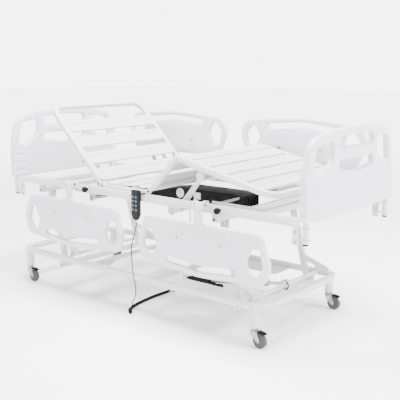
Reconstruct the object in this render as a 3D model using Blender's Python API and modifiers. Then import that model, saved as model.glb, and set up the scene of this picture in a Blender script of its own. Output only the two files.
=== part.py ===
"""Electric hospital bed: a lifting frame with a four-section deck, drop-down side rails, two moulded end
boards, braked casters and a wired handset.

Metres, +Z up, +X towards the foot end. The origin is on the floor under the middle of the bed. The bed is drawn
at its highest, with the backrest and the knees raised, the right-hand rails down and the left-hand rails up.
"""

import math

import bmesh
import bpy
from mathutils import Matrix, Vector

# End boards
BED_LENGTH = 2.26
BOARD_WIDTH = 0.91
BOARD_BOTTOM = 0.70
BOARD_TOP = 1.13
BOARD_THICKNESS = 0.036
BOARD_BOW = 0.025
BOARD_CORNER = 0.10
POST_SPACING = 0.84
POST_RADIUS = 0.014
POST_BOTTOM = 0.590
POST_TOP = 0.80

# Base frame on its four legs
RING_CENTRE_X = -0.135
RING_LENGTH = 1.97
RING_WIDTH = 0.81
RING_BAR = 0.04
RING_BOTTOM = 0.195
RING_HEIGHT = 0.034
RING_CORNER = 0.10
LEG_CENTRE_X = -0.1275
LEG_SPACING_X = 1.82
LEG_SPACING_Y = 0.764
LEG_RADIUS = 0.0254
LEG_BOTTOM = 0.102
BASE_MEMBER_X = -0.4625
BASE_MEMBER_WIDTH = 0.04
BASE_MEMBER_HEIGHT = 0.020

# Casters
WHEEL_RADIUS = 0.040
WHEEL_WIDTH = 0.024
CASTER_TRAIL = 0.034
AXLE_RADIUS = 0.004
FORK_PLATE = 0.003
PEDAL_WIDTH = 0.030

# Lifting linkage
LIFT_PIVOT_Z = 0.158
LIFT_HEAD_X = -0.7305
LIFT_SPACING = 1.398
LIFT_REACH = 0.44
LIFT_LEAN = 0.12
LIFT_ARM_SPACING = 0.66
LIFT_ARM_WIDTH = 0.036
LIFT_ARM_THICKNESS = 0.020
LIFT_SHAFT_RADIUS = 0.018
LEVER_OUT = 0.055
LEVER_UP = 0.068
LEVER_RADIUS = 0.011
MOTOR_PIN_X = 0.030
MOTOR_PIN_Z = 0.125
ROD_RADIUS = 0.010
EYE_INNER_RADIUS = 0.0215
EYE_OUTER_RADIUS = 0.030

# Lifted frame
RAIL_LENGTH = 2.07
RAIL_SPACING = 0.81
RAIL_WIDTH = 0.03
RAIL_BOTTOM = 0.673
RAIL_HEIGHT = 0.04
CROSS_RAIL_X = 0.80
HANGER_BOTTOM = 0.625
HANGER_SIZE = 0.030
HINGE_PIN_RADIUS = 0.005

# Deck sections
DECK_WIDTH = 0.80
DECK_TUBE_WIDTH = 0.03
DECK_TUBE_HEIGHT = 0.032
DECK_LIFT = 0.003
SLAT_THICKNESS = 0.012
SECTION_END_GAP = 0.016
HINGE_EYE_RADIUS = 0.0125
BACK_HINGE_X = -0.3275
BACK_LENGTH = 0.62
BACK_ANGLE = 45.0
BACK_SLATS = (0.055, 0.182, 0.309, 0.436)
BACK_SLAT_WIDTH = 0.087
THIGH_HINGE_X = 0.0725
THIGH_LENGTH = 0.28
THIGH_ANGLE = 46.0
THIGH_SLATS = (0.085, 0.195)
THIGH_SLAT_WIDTH = 0.080
LEG_LENGTH = 0.645
LEG_ANGLE = -12.8
LEG_SLATS = (0.150, 0.272, 0.394, 0.516)
LEG_SLAT_WIDTH = 0.100
SECTION_CORNER = 0.09
SEAT_SLAT_WIDTH = 0.095

# Drive shafts and dual drive
SHAFT_RADIUS = 0.013
SHAFT_Z = 0.640
BACK_SHAFT_X = -0.3995
LEG_SHAFT_X = 0.2335
BACK_LEVER_LENGTH = 0.258
BACK_LEVER_ANGLE = 51.5
BACK_LEVER_RATIO = 1.10
BACK_TOP_ANGLE = 65.0
BACK_ROLLER_RADIUS = 0.020
BACK_LEVER_SPACING = 0.60
LEG_LEVER_LENGTH = 0.255
LEG_LEVER_ANGLE = 51.52
LEG_ROLLER_RADIUS = 0.024
LEG_LEVER_SPACING = 0.68
LEVER_THICKNESS = 0.006
TRACK_DEPTH = 0.023
DRIVE_WIDTH = 0.16
DRIVE_ROD_X = 0.455
DRIVE_ROD_Z = 0.690
DRIVE_ROD_RADIUS = 0.008
DRIVE_BAR_Y = 0.296

# Side rails
RAIL_HINGE_Z = 0.725
RAIL_HINGE_Y = 0.480
RAIL_HINGE_X = (-0.49, 0.5025)
PANEL_LENGTH = 0.88
PANEL_THICKNESS = 0.028
PANEL_NEAR_EDGE = 0.10
PANEL_FAR_EDGE = 0.38
RAIL_PLATE_THICKNESS = 0.004
RAIL_PLATE_WIDTH = 0.348
RAIL_STRAP_WIDTH = 0.060
BARREL_RADIUS = 0.0125
BARREL_LENGTH = 0.050
KNOB_OFFSET = 0.085
KNOB_RADIUS = 0.017

# Handset and its cord
HANDSET_X = 0.0095
HANDSET_WIDTH = 0.056
HANDSET_HEIGHT = 0.170
HANDSET_THICKNESS = 0.026
HANDSET_BOTTOM = 0.568
BUTTON_RADIUS = 0.0068
CORD_DIAMETER = 0.0055
CURL_DIAMETER = 0.020

GAP = 0.0003

RING_TOP = RING_BOTTOM + RING_HEIGHT
RAIL_TOP = RAIL_BOTTOM + RAIL_HEIGHT
RAIL_OUTER_Y = RAIL_SPACING / 2 + RAIL_WIDTH / 2
DECK_Z = RAIL_TOP + DECK_LIFT + DECK_TUBE_HEIGHT / 2
LIFT_FOOT_X = LIFT_HEAD_X + LIFT_SPACING
HALF_LENGTH = BED_LENGTH / 2
ALONG_Y = Matrix.Rotation(math.pi / 2, 4, "X")
ALONG_X = Matrix.Rotation(math.pi / 2, 4, "Y")
IN_XZ = Matrix(((1, 0, 0, 0), (0, 0, -1, 0), (0, 1, 0, 0), (0, 0, 0, 1)))
IN_YZ = Matrix(((0, 0, 1, 0), (1, 0, 0, 0), (0, 1, 0, 0), (0, 0, 0, 1)))


# Workshop helpers: every helper returns a loose mesh object in world space, ready to be welded into a part.


def clear_scene():
    for obj in list(bpy.data.objects):
        bpy.data.objects.remove(obj, do_unlink=True)


def link_mesh(mesh, name="stock"):
    obj = bpy.data.objects.new(name, mesh)
    PARTS.objects.link(obj)
    return obj


def mesh_of(bm):
    mesh = bpy.data.meshes.new("stock")
    bm.to_mesh(mesh)
    bm.free()
    return mesh


def box(low, high):
    """A block between two opposite corners."""
    bm = bmesh.new()
    size = [b - a for a, b in zip(low, high)]
    centre = [(a + b) / 2 for a, b in zip(low, high)]
    bmesh.ops.create_cube(bm, size=1.0, matrix=Matrix.Translation(centre) @ Matrix.Diagonal((*size, 1.0)))
    return link_mesh(mesh_of(bm))


def rod(start, end, radius, sides=12, end_radius=None):
    """A solid round bar, or a cone when its end has its own radius."""
    start, end = Vector(start), Vector(end)
    along = end - start
    turn = along.to_track_quat("Z", "Y").to_matrix().to_4x4()
    bm = bmesh.new()
    bmesh.ops.create_cone(
        bm,
        cap_ends=True,
        segments=sides,
        radius1=radius,
        radius2=radius if end_radius is None else end_radius,
        depth=along.length,
        matrix=Matrix.Translation((start + end) / 2) @ turn,
    )
    return link_mesh(mesh_of(bm))


def cross_rod(x, z, low_y, high_y, radius, sides=12):
    return rod((x, low_y, z), (x, high_y, z), radius, sides)


def lug(x, z, far, radius, low_y, high_y, arc=8):
    """A plate in an XZ plane with a round end about (x, z), running straight to the height far."""
    away = 1 if z > far else -1
    angles = [away * math.pi * step / arc for step in range(arc + 1)]
    outline = [(x + radius * math.cos(turn), z + radius * math.sin(turn)) for turn in angles]
    outline += [(x - radius, far), (x + radius, far)]
    return sheet([outline], high_y - low_y, IN_XZ, (0, (low_y + high_y) / 2, 0))


def flat_bar(start, end, width, low_y, high_y, beyond=0.0):
    """A straight bar of rectangular section that lies in an XZ plane."""
    start, end = Vector(start), Vector(end)
    along = end - start
    slope = math.atan2(along.y, along.x)
    half = along.length / 2 + beyond
    bar = box((-half, low_y, -width / 2), (half, high_y, width / 2))
    middle = (start + end) / 2
    place = Matrix.Translation((middle.x, 0, middle.y)) @ Matrix.Rotation(-slope, 4, "Y")
    bar.data.transform(place)
    return bar


def rounded(corners, radius, steps=5):
    """The outline through the corners, each turned into an arc. A corner may carry its own radius."""
    points = []
    count = len(corners)
    for index, corner in enumerate(corners):
        here = Vector(corner[:2])
        before = (Vector(corners[index - 1][:2]) - here).normalized()
        after = (Vector(corners[(index + 1) % count][:2]) - here).normalized()
        bend = radius if len(corner) < 3 else corner[2]
        half = before.angle(after) / 2
        centre = here + (before + after).normalized() * (bend / math.sin(half))
        start = here + before * (bend / math.tan(half)) - centre
        finish = here + after * (bend / math.tan(half)) - centre
        turn = start.angle_signed(finish)
        for step in range(steps + 1):
            arm = start.copy()
            arm.rotate(Matrix.Rotation(-turn * step / steps, 2))
            points.append(centre + arm)
    return points


def sheet(loops, thickness, plane=None, shift=(0, 0, 0)):
    """A flat plate cut to its outlines: the first loop is the rim, the others are openings."""
    curve = bpy.data.curves.new("stock", "CURVE")
    curve.dimensions = "2D"
    curve.fill_mode = "BOTH"
    curve.extrude = thickness / 2
    for loop in loops:
        spline = curve.splines.new("POLY")
        spline.points.add(len(loop) - 1)
        spline.use_cyclic_u = True
        for point, place in zip(spline.points, loop):
            point.co = (place[0], place[1], 0, 1)
    plate = mesh_from_curve(curve)
    plate.data.transform(Matrix.Translation(shift) @ (plane or Matrix.Identity(4)))
    return plate


def wire(points, radius, resolution=2):
    """A round wire through the points."""
    curve = bpy.data.curves.new("stock", "CURVE")
    curve.dimensions = "3D"
    curve.bevel_depth = radius
    curve.bevel_resolution = resolution
    curve.use_fill_caps = True
    spline = curve.splines.new("POLY")
    spline.points.add(len(points) - 1)
    for point, place in zip(spline.points, points):
        point.co = (*place, 1)
    return mesh_from_curve(curve)


def mesh_from_curve(curve):
    holder = link_mesh(curve)
    bpy.context.view_layer.update()
    graph = bpy.context.evaluated_depsgraph_get()
    mesh = bpy.data.meshes.new_from_object(holder.evaluated_get(graph))
    bpy.data.objects.remove(holder)
    bm = bmesh.new()
    bm.from_mesh(mesh)
    bmesh.ops.remove_doubles(bm, verts=bm.verts, dist=0.00001)
    bmesh.ops.recalc_face_normals(bm, faces=bm.faces)
    bm.to_mesh(mesh)
    bm.free()
    return link_mesh(mesh)


def turned(profile, place, steps=20, closed=False):
    """A turned shape: the profile of (radius, height) runs down the outer side, and spins about the axis."""
    mesh = bpy.data.meshes.new("stock")
    edges = [(i, i + 1) for i in range(len(profile) - 1)]
    if closed:
        edges.append((len(profile) - 1, 0))
    mesh.from_pydata([(r, 0, h) for r, h in profile], edges, [])
    shape = link_mesh(mesh)
    screw = shape.modifiers.new("Screw", "SCREW")
    screw.steps = steps
    screw.render_steps = steps
    screw.use_merge_vertices = True
    screw.merge_threshold = 0.0001
    shape = baked(shape)
    shape.data.transform(place)
    return shape


def baked(obj):
    """The object's mesh with its modifiers applied, as a new loose object."""
    bpy.context.view_layer.update()
    graph = bpy.context.evaluated_depsgraph_get()
    mesh = bpy.data.meshes.new_from_object(obj.evaluated_get(graph))
    bpy.data.objects.remove(obj)
    return link_mesh(mesh)


def weld(pieces, cuts=()):
    """Joins the pieces into one body and takes the cuts out of it."""
    body = pieces[0]
    tools = [(piece, "UNION") for piece in pieces[1:]] + [(cut, "DIFFERENCE") for cut in cuts]
    for tool, operation in tools:
        joint = body.modifiers.new(operation, "BOOLEAN")
        joint.operation = operation
        joint.object = tool
    body = baked(body)
    for tool, _ in tools:
        bpy.data.objects.remove(tool)
    return body


def finish(obj, name, material, origin=(0, 0, 0), smooth=None):
    """Names the part, gives it its material and moves its origin without moving its shape."""
    obj.name = name
    obj.data.name = name
    obj.data.transform(obj.matrix_world)
    obj.matrix_world = Matrix.Identity(4)
    obj.data.transform(Matrix.Translation(-Vector(origin)))
    obj.location = origin
    obj.data.materials.clear()
    obj.data.materials.append(material)
    if smooth is not None:
        obj.data.shade_smooth()
        obj.data.set_sharp_from_angle(angle=math.radians(smooth))
    return obj


def copy_of(obj, name, shift=(0, 0, 0), turn=None):
    """A second piece of the same make, with its own mesh data placed elsewhere."""
    twin = bpy.data.objects.new(name, obj.data.copy())
    PARTS.objects.link(twin)
    twin.location = obj.location
    if turn is not None:
        twin.data.transform(turn)
    twin.location = Vector(obj.location) + Vector(shift)
    return twin


def paint(name, colour, roughness, metallic=0.0):
    material = bpy.data.materials.new(name)
    material.use_nodes = True
    shader = material.node_tree.nodes["Principled BSDF"]
    shader.inputs["Base Color"].default_value = (*colour, 1.0)
    shader.inputs["Roughness"].default_value = roughness
    shader.inputs["Metallic"].default_value = metallic
    return material


def smooth_route(knots, spacing):
    """Points about one spacing apart on a Catmull-Rom curve through the knots."""
    ends = [knots[0] * 2 - knots[1]] + knots + [knots[-1] * 2 - knots[-2]]
    route = []
    for before, start, end, after in zip(ends, ends[1:], ends[2:], ends[3:]):
        steps = max(1, round((end - start).length / spacing))
        for step in range(steps):
            t = step / steps
            bend = (2 * before - 5 * start + 4 * end - after) * t * t
            twist = (3 * start - before - 3 * end + after) * t * t * t
            route.append((2 * start + (end - before) * t + bend + twist) / 2)
    route.append(knots[-1])
    return route


# Base frame


def ring_loops(length, width, bar, corner, centre_x):
    loops = []
    for inset in (0.0, bar):
        x, y, radius = length / 2 - inset, width / 2 - inset, corner - inset
        corners = [(centre_x - x, -y), (centre_x + x, -y), (centre_x + x, y), (centre_x - x, y)]
        loops.append(rounded(corners, radius))
    return loops


def lift_pivot_plates():
    """Plates under the ring that carry the linkage's lower pins."""
    inner_y = RING_WIDTH / 2 - RING_BAR
    pieces = []
    for x in (LIFT_HEAD_X, LIFT_FOOT_X):
        for side in (-1, 1):
            low_y, high_y = sorted((side * (inner_y + 0.001), side * (inner_y + 0.007)))
            pieces.append(lug(x, LIFT_PIVOT_Z, RING_BOTTOM + 0.002, 0.020, low_y, high_y))
            pin_end = side * (inner_y - 0.020)
            pieces.append(cross_rod(x, LIFT_PIVOT_Z, pin_end, side * (inner_y + 0.004), 0.008, 16))
    return pieces


def base_members():
    """The cross-member, its gussets, and the cross plate with the lift motor's pin."""
    inner_y = RING_WIDTH / 2 - RING_BAR + 0.002
    top = RING_BOTTOM + BASE_MEMBER_HEIGHT
    half = BASE_MEMBER_WIDTH / 2
    x = BASE_MEMBER_X
    pieces = [box((x - half, -inner_y, RING_BOTTOM), (x + half, inner_y, top))]
    for side in (-1, 1):
        gusset = [(x + half - 0.002, side * 0.15), (x + 0.13, side * inner_y), (x + half - 0.002, side * inner_y)]
        pieces.append(sheet([gusset], 0.006, shift=(0, 0, RING_BOTTOM + 0.003)))
    plate_x = MOTOR_PIN_X + 0.050
    pieces.append(box((MOTOR_PIN_X - 0.012, -inner_y, RING_BOTTOM), (plate_x, inner_y, RING_BOTTOM + 0.012)))
    for side in (-1, 1):
        plate = [(0.142, side * inner_y), (0.520, side * inner_y), (0.520, side * 0.200), (0.180, side * 0.200)]
        pieces.append(sheet([plate], 0.004, shift=(0, 0, RING_BOTTOM + 0.004)))
        low_y, high_y = sorted((side * 0.046, side * 0.052))
        pieces.append(lug(MOTOR_PIN_X, MOTOR_PIN_Z, RING_BOTTOM + 0.002, 0.016, low_y, high_y))
    pieces.append(cross_rod(MOTOR_PIN_X, MOTOR_PIN_Z, -0.049, 0.049, 0.006, 16))
    return pieces


def leg_places():
    for x in (-1, 1):
        for y in (-1, 1):
            yield LEG_CENTRE_X + x * LEG_SPACING_X / 2, y * LEG_SPACING_Y / 2


def make_base(paint_white):
    loops = ring_loops(RING_LENGTH, RING_WIDTH, RING_BAR, RING_CORNER, RING_CENTRE_X)
    pieces = [sheet(loops, RING_HEIGHT, shift=(0, 0, RING_BOTTOM + RING_HEIGHT / 2))]
    for x, y in leg_places():
        pieces.append(rod((x, y, LEG_BOTTOM), (x, y, RING_TOP - 0.010), LEG_RADIUS, 24))
    pieces += base_members() + lift_pivot_plates()
    return finish(weld(pieces), "base_frame", paint_white)


# Casters


def make_fork(steel):
    """Swivel head, crown and two cheeks, with the axle through them."""
    half = WHEEL_WIDTH / 2 + 0.003
    crown = 2 * WHEEL_RADIUS + 0.004
    head_top = LEG_BOTTOM - GAP
    pieces = [rod((0, 0, crown), (0, 0, head_top), 0.020, 24)]
    pieces.append(box((-0.020, -half - FORK_PLATE, crown), (0.022, half + FORK_PLATE, crown + 0.006)))
    for side in (-1, 1):
        low_y, high_y = sorted((side * half, side * (half + FORK_PLATE)))
        cheek = [(-0.020, crown + 0.004), (0.022, crown + 0.004), (0.046, WHEEL_RADIUS), (0.036, 0.028), (0.024, 0.032)]
        pieces.append(sheet([cheek], FORK_PLATE, IN_XZ, (0, (low_y + high_y) / 2, 0)))
        boss_end = side * (half + 0.006)
        pieces.append(cross_rod(CASTER_TRAIL, WHEEL_RADIUS, side * (half + 0.001), boss_end, 0.008, 12))
    pieces.append(cross_rod(CASTER_TRAIL, WHEEL_RADIUS, -half - 0.001, half + 0.001, AXLE_RADIUS, 12))
    return finish(weld(pieces), "caster_fork", steel)


def make_wheel(rubber):
    half = WHEEL_WIDTH / 2
    outer, bore = WHEEL_RADIUS, AXLE_RADIUS + 0.0005
    profile = [
        (outer - 0.004, half),
        (outer, half - 0.004),
        (outer, 0.004 - half),
        (outer - 0.004, -half),
        (bore, -half),
        (bore, half),
    ]
    place = Matrix.Translation((CASTER_TRAIL, 0, WHEEL_RADIUS)) @ ALONG_Y
    wheel = turned(profile, place, 24, closed=True)
    return finish(wheel, "caster_wheel", rubber, (CASTER_TRAIL, 0, WHEEL_RADIUS))


def make_pedal(plastic):
    """Foot brake over the back of the wheel, hinged on the fork's cheeks."""
    hinge = (0.030, 0.0, 2 * WHEEL_RADIUS + 0.013)
    half = PEDAL_WIDTH / 2
    tread = [(0.026, 0.0905), (0.052, 0.0895), (0.072, 0.082), (0.071, 0.078), (0.052, 0.0845), (0.0265, 0.0855)]
    pieces = [sheet([tread], PEDAL_WIDTH, IN_XZ)]
    for side in (-1, 1):
        pieces.append(cross_rod(hinge[0], 0.0885, side * (half - 0.004), side * (half + 0.004), 0.004, 12))
    return finish(weld(pieces), "caster_pedal", plastic, (hinge[0], 0, 0.0885))


def make_casters(steel, rubber, plastic):
    made = [make_fork(steel), make_wheel(rubber), make_pedal(plastic)]
    corners = ("head_right", "head_left", "foot_right", "foot_left")
    for corner, (x, y) in zip(corners, leg_places()):
        for piece in made:
            copy_of(piece, f"{piece.name}_{corner}", (x, y, 0))
    for piece in made:
        bpy.data.objects.remove(piece)


# Lifting linkage


def lift_lever(x):
    return x + LEVER_OUT, LIFT_PIVOT_Z + LEVER_UP


def make_lift_arms(name, x, paint_white):
    """A shaft with two arms; each has a long strap, and the lever bar hangs between the straps."""
    top = (x - LIFT_LEAN, LIFT_PIVOT_Z + LIFT_REACH)
    lever = lift_lever(x)
    half_span = RING_WIDTH / 2 - RING_BAR - 0.006
    strap = ((x - 0.041, LIFT_PIVOT_Z + 0.150), (x + 0.134, LIFT_PIVOT_Z + 0.090))
    pieces = [cross_rod(x, LIFT_PIVOT_Z, -half_span, half_span, LIFT_SHAFT_RADIUS, 24)]
    cuts = []
    for side in (-1, 1):
        middle = side * LIFT_ARM_SPACING / 2
        low_y, high_y = middle - LIFT_ARM_THICKNESS / 2, middle + LIFT_ARM_THICKNESS / 2
        pieces.append(flat_bar((x, LIFT_PIVOT_Z), top, LIFT_ARM_WIDTH, low_y, high_y))
        pieces.append(cross_rod(*top, low_y, high_y, LIFT_ARM_WIDTH / 2))
        pieces.append(flat_bar(strap[0], strap[1], 0.026, low_y + 0.002, high_y - 0.002))
        pieces.append(flat_bar(lever, (lever[0] + 0.004, lever[1] + 0.048), 0.018, low_y + 0.003, high_y - 0.003))
        pieces.append(flat_bar((x, LIFT_PIVOT_Z), lever, 0.020, low_y + 0.004, high_y - 0.004))
        cuts.append(cross_rod(*top, low_y - 0.01, high_y + 0.01, 0.0065, 16))
        bore_start = side * (half_span - 0.022)
        cuts.append(cross_rod(x, LIFT_PIVOT_Z, bore_start, side * (half_span + 0.01), 0.0085, 16))
    end_y = LIFT_ARM_SPACING / 2
    pieces.append(cross_rod(*lever, -end_y, end_y, LEVER_RADIUS, 20))
    return finish(weld(pieces, cuts), name, paint_white, (x, 0, LIFT_PIVOT_Z))


def actuator_frame():
    """Placement of the lift actuator: its own X axis runs from the motor's pin to the foot lever."""
    lever = lift_lever(LIFT_FOOT_X)
    run, rise = lever[0] - MOTOR_PIN_X, lever[1] - MOTOR_PIN_Z
    place = Matrix.Translation((MOTOR_PIN_X, 0, MOTOR_PIN_Z)) @ Matrix.Rotation(-math.atan2(rise, run), 4, "Y")
    return place, math.hypot(run, rise)


def make_lift_motor(plastic):
    """Motor and gearbox with the bored rear clevis block."""
    place, _ = actuator_frame()
    pieces = [box((-0.018, -0.016, -0.016), (0.060, 0.016, 0.016))]
    pieces.append(box((0.040, -0.036, -0.058), (0.175, 0.036, 0.028)))
    pieces.append(rod((0.170, 0, -0.038), (0.245, 0, -0.038), 0.018, 16))
    cuts = [rod((0, -0.03, 0), (0, 0.03, 0), 0.0065, 16)]
    cuts.append(rod((0.120, 0, 0.004), (0.20, 0, 0.004), 0.0206, 20))
    motor = weld(pieces, cuts)
    motor.data.transform(place)
    return finish(motor, "lift_motor", plastic, (MOTOR_PIN_X, 0, MOTOR_PIN_Z))


def make_lift_tube(metal):
    """The outer tube that the rod slides in."""
    place, length = actuator_frame()
    outer, inner = 0.020, ROD_RADIUS + 0.0006
    profile = [(outer, length - 0.115), (outer, 0.121), (inner, 0.121), (inner, length - 0.115)]
    tube = turned(profile, place @ Matrix.Translation((0, 0, 0.004)) @ ALONG_X, 20, closed=True)
    return finish(tube, "lift_tube", metal, (MOTOR_PIN_X, 0, MOTOR_PIN_Z))


def make_lift_rod(metal):
    """The sliding rod with its round end eye about the lever bar."""
    place, length = actuator_frame()
    pieces = [rod((0.30, 0, 0.004), (length - EYE_INNER_RADIUS - 0.004, 0, 0.004), ROD_RADIUS, 16)]
    pieces.append(rod((length, -0.013, 0), (length, 0.013, 0), EYE_OUTER_RADIUS, 28))
    cuts = [rod((length, -0.03, 0), (length, 0.03, 0), EYE_INNER_RADIUS, 28)]
    piece = weld(pieces, cuts)
    piece.data.transform(place)
    lever = lift_lever(LIFT_FOOT_X)
    return finish(piece, "lift_rod", metal, (lever[0], 0, lever[1]))


# Lifted frame


def hinge_bracket(x, z, side):
    """A plate standing on the side rail with a pin that points inwards."""
    inner, outer = DECK_WIDTH / 2 + 0.0015, DECK_WIDTH / 2 + 0.0065
    low_y, high_y = sorted((side * inner, side * outer))
    plate = lug(x, z, RAIL_TOP - 0.002, 0.013, low_y, high_y)
    pin = cross_rod(x, z, side * (DECK_WIDTH / 2 - 0.014), side * (inner + 0.002), HINGE_PIN_RADIUS, 8)
    return [plate, pin]


def lift_hanger(x, side):
    """Post below the side rail, and the clevis that takes the lift arm's upper pin."""
    rail_y = side * RAIL_SPACING / 2
    half = HANGER_SIZE / 2
    post = box((x - half, rail_y - 0.0148, HANGER_BOTTOM), (x + half, rail_y + 0.0148, RAIL_BOTTOM + 0.002))
    pin_z = LIFT_PIVOT_Z + LIFT_REACH
    pieces = [post]
    arm_y = side * LIFT_ARM_SPACING / 2
    gap = LIFT_ARM_THICKNESS / 2 + 0.004
    for edge in (-1, 1):
        low_y, high_y = sorted((arm_y + edge * gap, arm_y + edge * (gap + 0.006)))
        pieces.append(lug(x, pin_z, HANGER_BOTTOM + 0.002, 0.014, low_y, high_y))
    pieces.append(cross_rod(x, pin_z, arm_y - gap - 0.003, arm_y + gap + 0.003, 0.006, 12))
    return pieces


def corner_bracket(end, side):
    """End plate on the side rail with two clips round the board's post."""
    x0, x1 = sorted((end * (RAIL_LENGTH / 2 - 0.018), end * (RAIL_LENGTH / 2 + 0.018)))
    outer = side * RAIL_OUTER_Y
    low_y, high_y = sorted((outer - side * 0.002, outer + side * 0.004))
    pieces = [box((x0, low_y, POST_BOTTOM - 0.004), (x1, high_y, RAIL_TOP))]
    post_x, post_y = end * post_place_x(), side * POST_SPACING / 2
    cuts = []
    for z in (0.612, 0.668):
        clip = 0.006
        near = end * (RAIL_LENGTH / 2 - 0.012)
        cx0, cx1 = sorted((near, post_x))
        cy0, cy1 = sorted((post_y - side * 0.015, post_y + side * 0.0035))
        pieces.append(box((cx0, cy0, z), (cx1, cy1, z + clip)))
        pieces.append(rod((post_x, post_y, z - 0.001), (post_x, post_y, z + clip + 0.001), POST_RADIUS + 0.006, 16))
        cuts.append(rod((post_x, post_y, z - 0.01), (post_x, post_y, z + clip + 0.01), POST_RADIUS + 0.0005, 16))
    return pieces, cuts


def shaft_bearing(x, side):
    """Plate below the side rail with the bored boss of a drive shaft."""
    inner = RAIL_SPACING / 2 - RAIL_WIDTH / 2
    low_y, high_y = sorted((side * (inner + 0.001), side * (inner + 0.009)))
    plate = lug(x, SHAFT_Z, RAIL_BOTTOM + 0.002, 0.022, low_y, high_y, 10)
    bore = cross_rod(x, SHAFT_Z, low_y - 0.01, high_y + 0.01, SHAFT_RADIUS + 0.0006, 16)
    return [plate], [bore]


def rail_hinge_mount(x, side):
    """The clevis on the outside of the side rail that carries a side rail's barrel."""
    outer = RAIL_OUTER_Y
    half = BARREL_LENGTH / 2 + 0.001
    pieces = []
    for edge in (-1, 1):
        x0, x1 = sorted((x + edge * half, x + edge * (half + 0.008)))
        angles = [math.pi * (step / 8 - 0.5) for step in range(9)]
        nose = [(side * (RAIL_HINGE_Y + 0.022 * math.cos(a)), RAIL_HINGE_Z + 0.022 * math.sin(a)) for a in angles]
        back = side * (outer - 0.002)
        outline = [(back, RAIL_HINGE_Z - 0.050)] + nose + [(back, RAIL_HINGE_Z - 0.014)]
        pieces.append(sheet([outline], x1 - x0, IN_YZ, ((x0 + x1) / 2, 0, 0)))
    y0, y1 = sorted((side * (outer - 0.002), side * (outer + 0.006)))
    pieces.append(box((x - half - 0.004, y0, RAIL_BOTTOM - 0.002), (x + KNOB_OFFSET + 0.018, y1, RAIL_TOP - 0.004)))
    ends = [(x + edge * (half + 0.004), side * RAIL_HINGE_Y, RAIL_HINGE_Z) for edge in (-1, 1)]
    pieces.append(rod(*ends, 0.005, 8))
    knob_z = RAIL_HINGE_Z - 0.030
    bore = cross_rod(x + KNOB_OFFSET, knob_z, side * (outer - 0.020), side * (outer + 0.02), 0.0055, 12)
    return pieces, [bore]


def make_frame(paint_white):
    half = RAIL_LENGTH / 2
    half_y = RAIL_SPACING / 2
    pieces, cuts = [], []
    for side in (-1, 1):
        low_y, high_y = side * half_y - RAIL_WIDTH / 2, side * half_y + RAIL_WIDTH / 2
        pieces.append(box((-half, low_y, RAIL_BOTTOM), (half, high_y, RAIL_TOP)))
    for x in (-CROSS_RAIL_X, CROSS_RAIL_X):
        pieces.append(box((x - 0.015, -half_y, RAIL_BOTTOM + 0.004), (x + 0.015, half_y, RAIL_TOP - 0.004)))
    for base_x in (LIFT_HEAD_X, LIFT_FOOT_X):
        x = base_x - LIFT_LEAN
        low, high = HANGER_BOTTOM, HANGER_BOTTOM + HANGER_SIZE
        pieces.append(box((x - 0.0148, -half_y, low), (x + 0.0148, half_y, high)))
    for side in (-1, 1):
        for base_x in (LIFT_HEAD_X, LIFT_FOOT_X):
            pieces += lift_hanger(base_x - LIFT_LEAN, side)
        for x in (BACK_HINGE_X, THIGH_HINGE_X):
            pieces += hinge_bracket(x, DECK_Z, side)
        made = [shaft_bearing(x, side) for x in (BACK_SHAFT_X, LEG_SHAFT_X)]
        made += [corner_bracket(end, side) for end in (-1, 1)]
        made += [rail_hinge_mount(x, side) for x in RAIL_HINGE_X]
        for more, holes in made:
            pieces += more
            cuts += holes
        low_y, high_y = sorted((side * (DRIVE_BAR_Y - 0.006), side * (DRIVE_BAR_Y + 0.006)))
        pieces.append(box((DRIVE_ROD_X - 0.016, low_y, DRIVE_ROD_Z - 0.012), (CROSS_RAIL_X, high_y, DRIVE_ROD_Z + 0.016)))
        cuts.append(cross_rod(DRIVE_ROD_X, DRIVE_ROD_Z, low_y - 0.01, high_y + 0.01, 0.0085, 16))
    return finish(weld(pieces, cuts), "lift_frame", paint_white)


# End boards


def post_place_x():
    bow = BOARD_BOW * (POST_SPACING / BOARD_WIDTH) ** 2
    return HALF_LENGTH - bow - BOARD_THICKNESS / 2


def board_loops():
    """Rim, two hand holes, and the two windows above and below the middle rail."""
    half = BOARD_WIDTH / 2
    low, high = BOARD_BOTTOM, BOARD_TOP
    arch = [(half * 0.5, high - 0.010), (0.0, high), (-half * 0.5, high - 0.010)]
    rim = [(-half, low, 0.02), (half, low, 0.02), (half, low + 0.18, 0.2), (half - 0.04, high - 0.045, BOARD_CORNER)]
    rim += [(y, z, 0.3) for y, z in arch]
    rim += [(-half + 0.04, high - 0.045, BOARD_CORNER), (-half, low + 0.18, 0.2)]
    loops = [rounded(rim, 0.02, 3)]
    for side in (-1, 1):
        grip = [(0.228, high - 0.062), (0.228, high - 0.158), (0.345, high - 0.232), (0.400, high - 0.212), (0.374, high - 0.078)]
        grip = [(side * y, z) for y, z in grip]
        loops.append(rounded(grip, 0.018, 2))
    upper = [(-0.180, high - 0.100), (0.180, high - 0.100), (0.180, high - 0.046), (-0.180, high - 0.046)]
    lower = [(-0.180, high - 0.212), (0.0, high - 0.224, 0.2), (0.180, high - 0.212), (0.180, high - 0.160), (-0.180, high - 0.160)]
    loops.append(rounded(upper, 0.022, 2))
    loops.append(rounded(lower, 0.022, 2))
    return loops


def bowed(board, end):
    """Bends the board in plan, its middle standing furthest from the bed."""
    bm = bmesh.new()
    bm.from_mesh(board.data)
    for step in range(-3, 4):
        geometry = bm.verts[:] + bm.edges[:] + bm.faces[:]
        bmesh.ops.bisect_plane(bm, geom=geometry, plane_co=(0, step * 0.133, 0), plane_no=(0, 1, 0), dist=0.00001)
    for vert in bm.verts:
        vert.co.x -= end * BOARD_BOW * (vert.co.y / (BOARD_WIDTH / 2)) ** 2
    bmesh.ops.remove_doubles(bm, verts=bm.verts, dist=0.00001)
    bm.to_mesh(board.data)
    bm.free()
    return board


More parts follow.
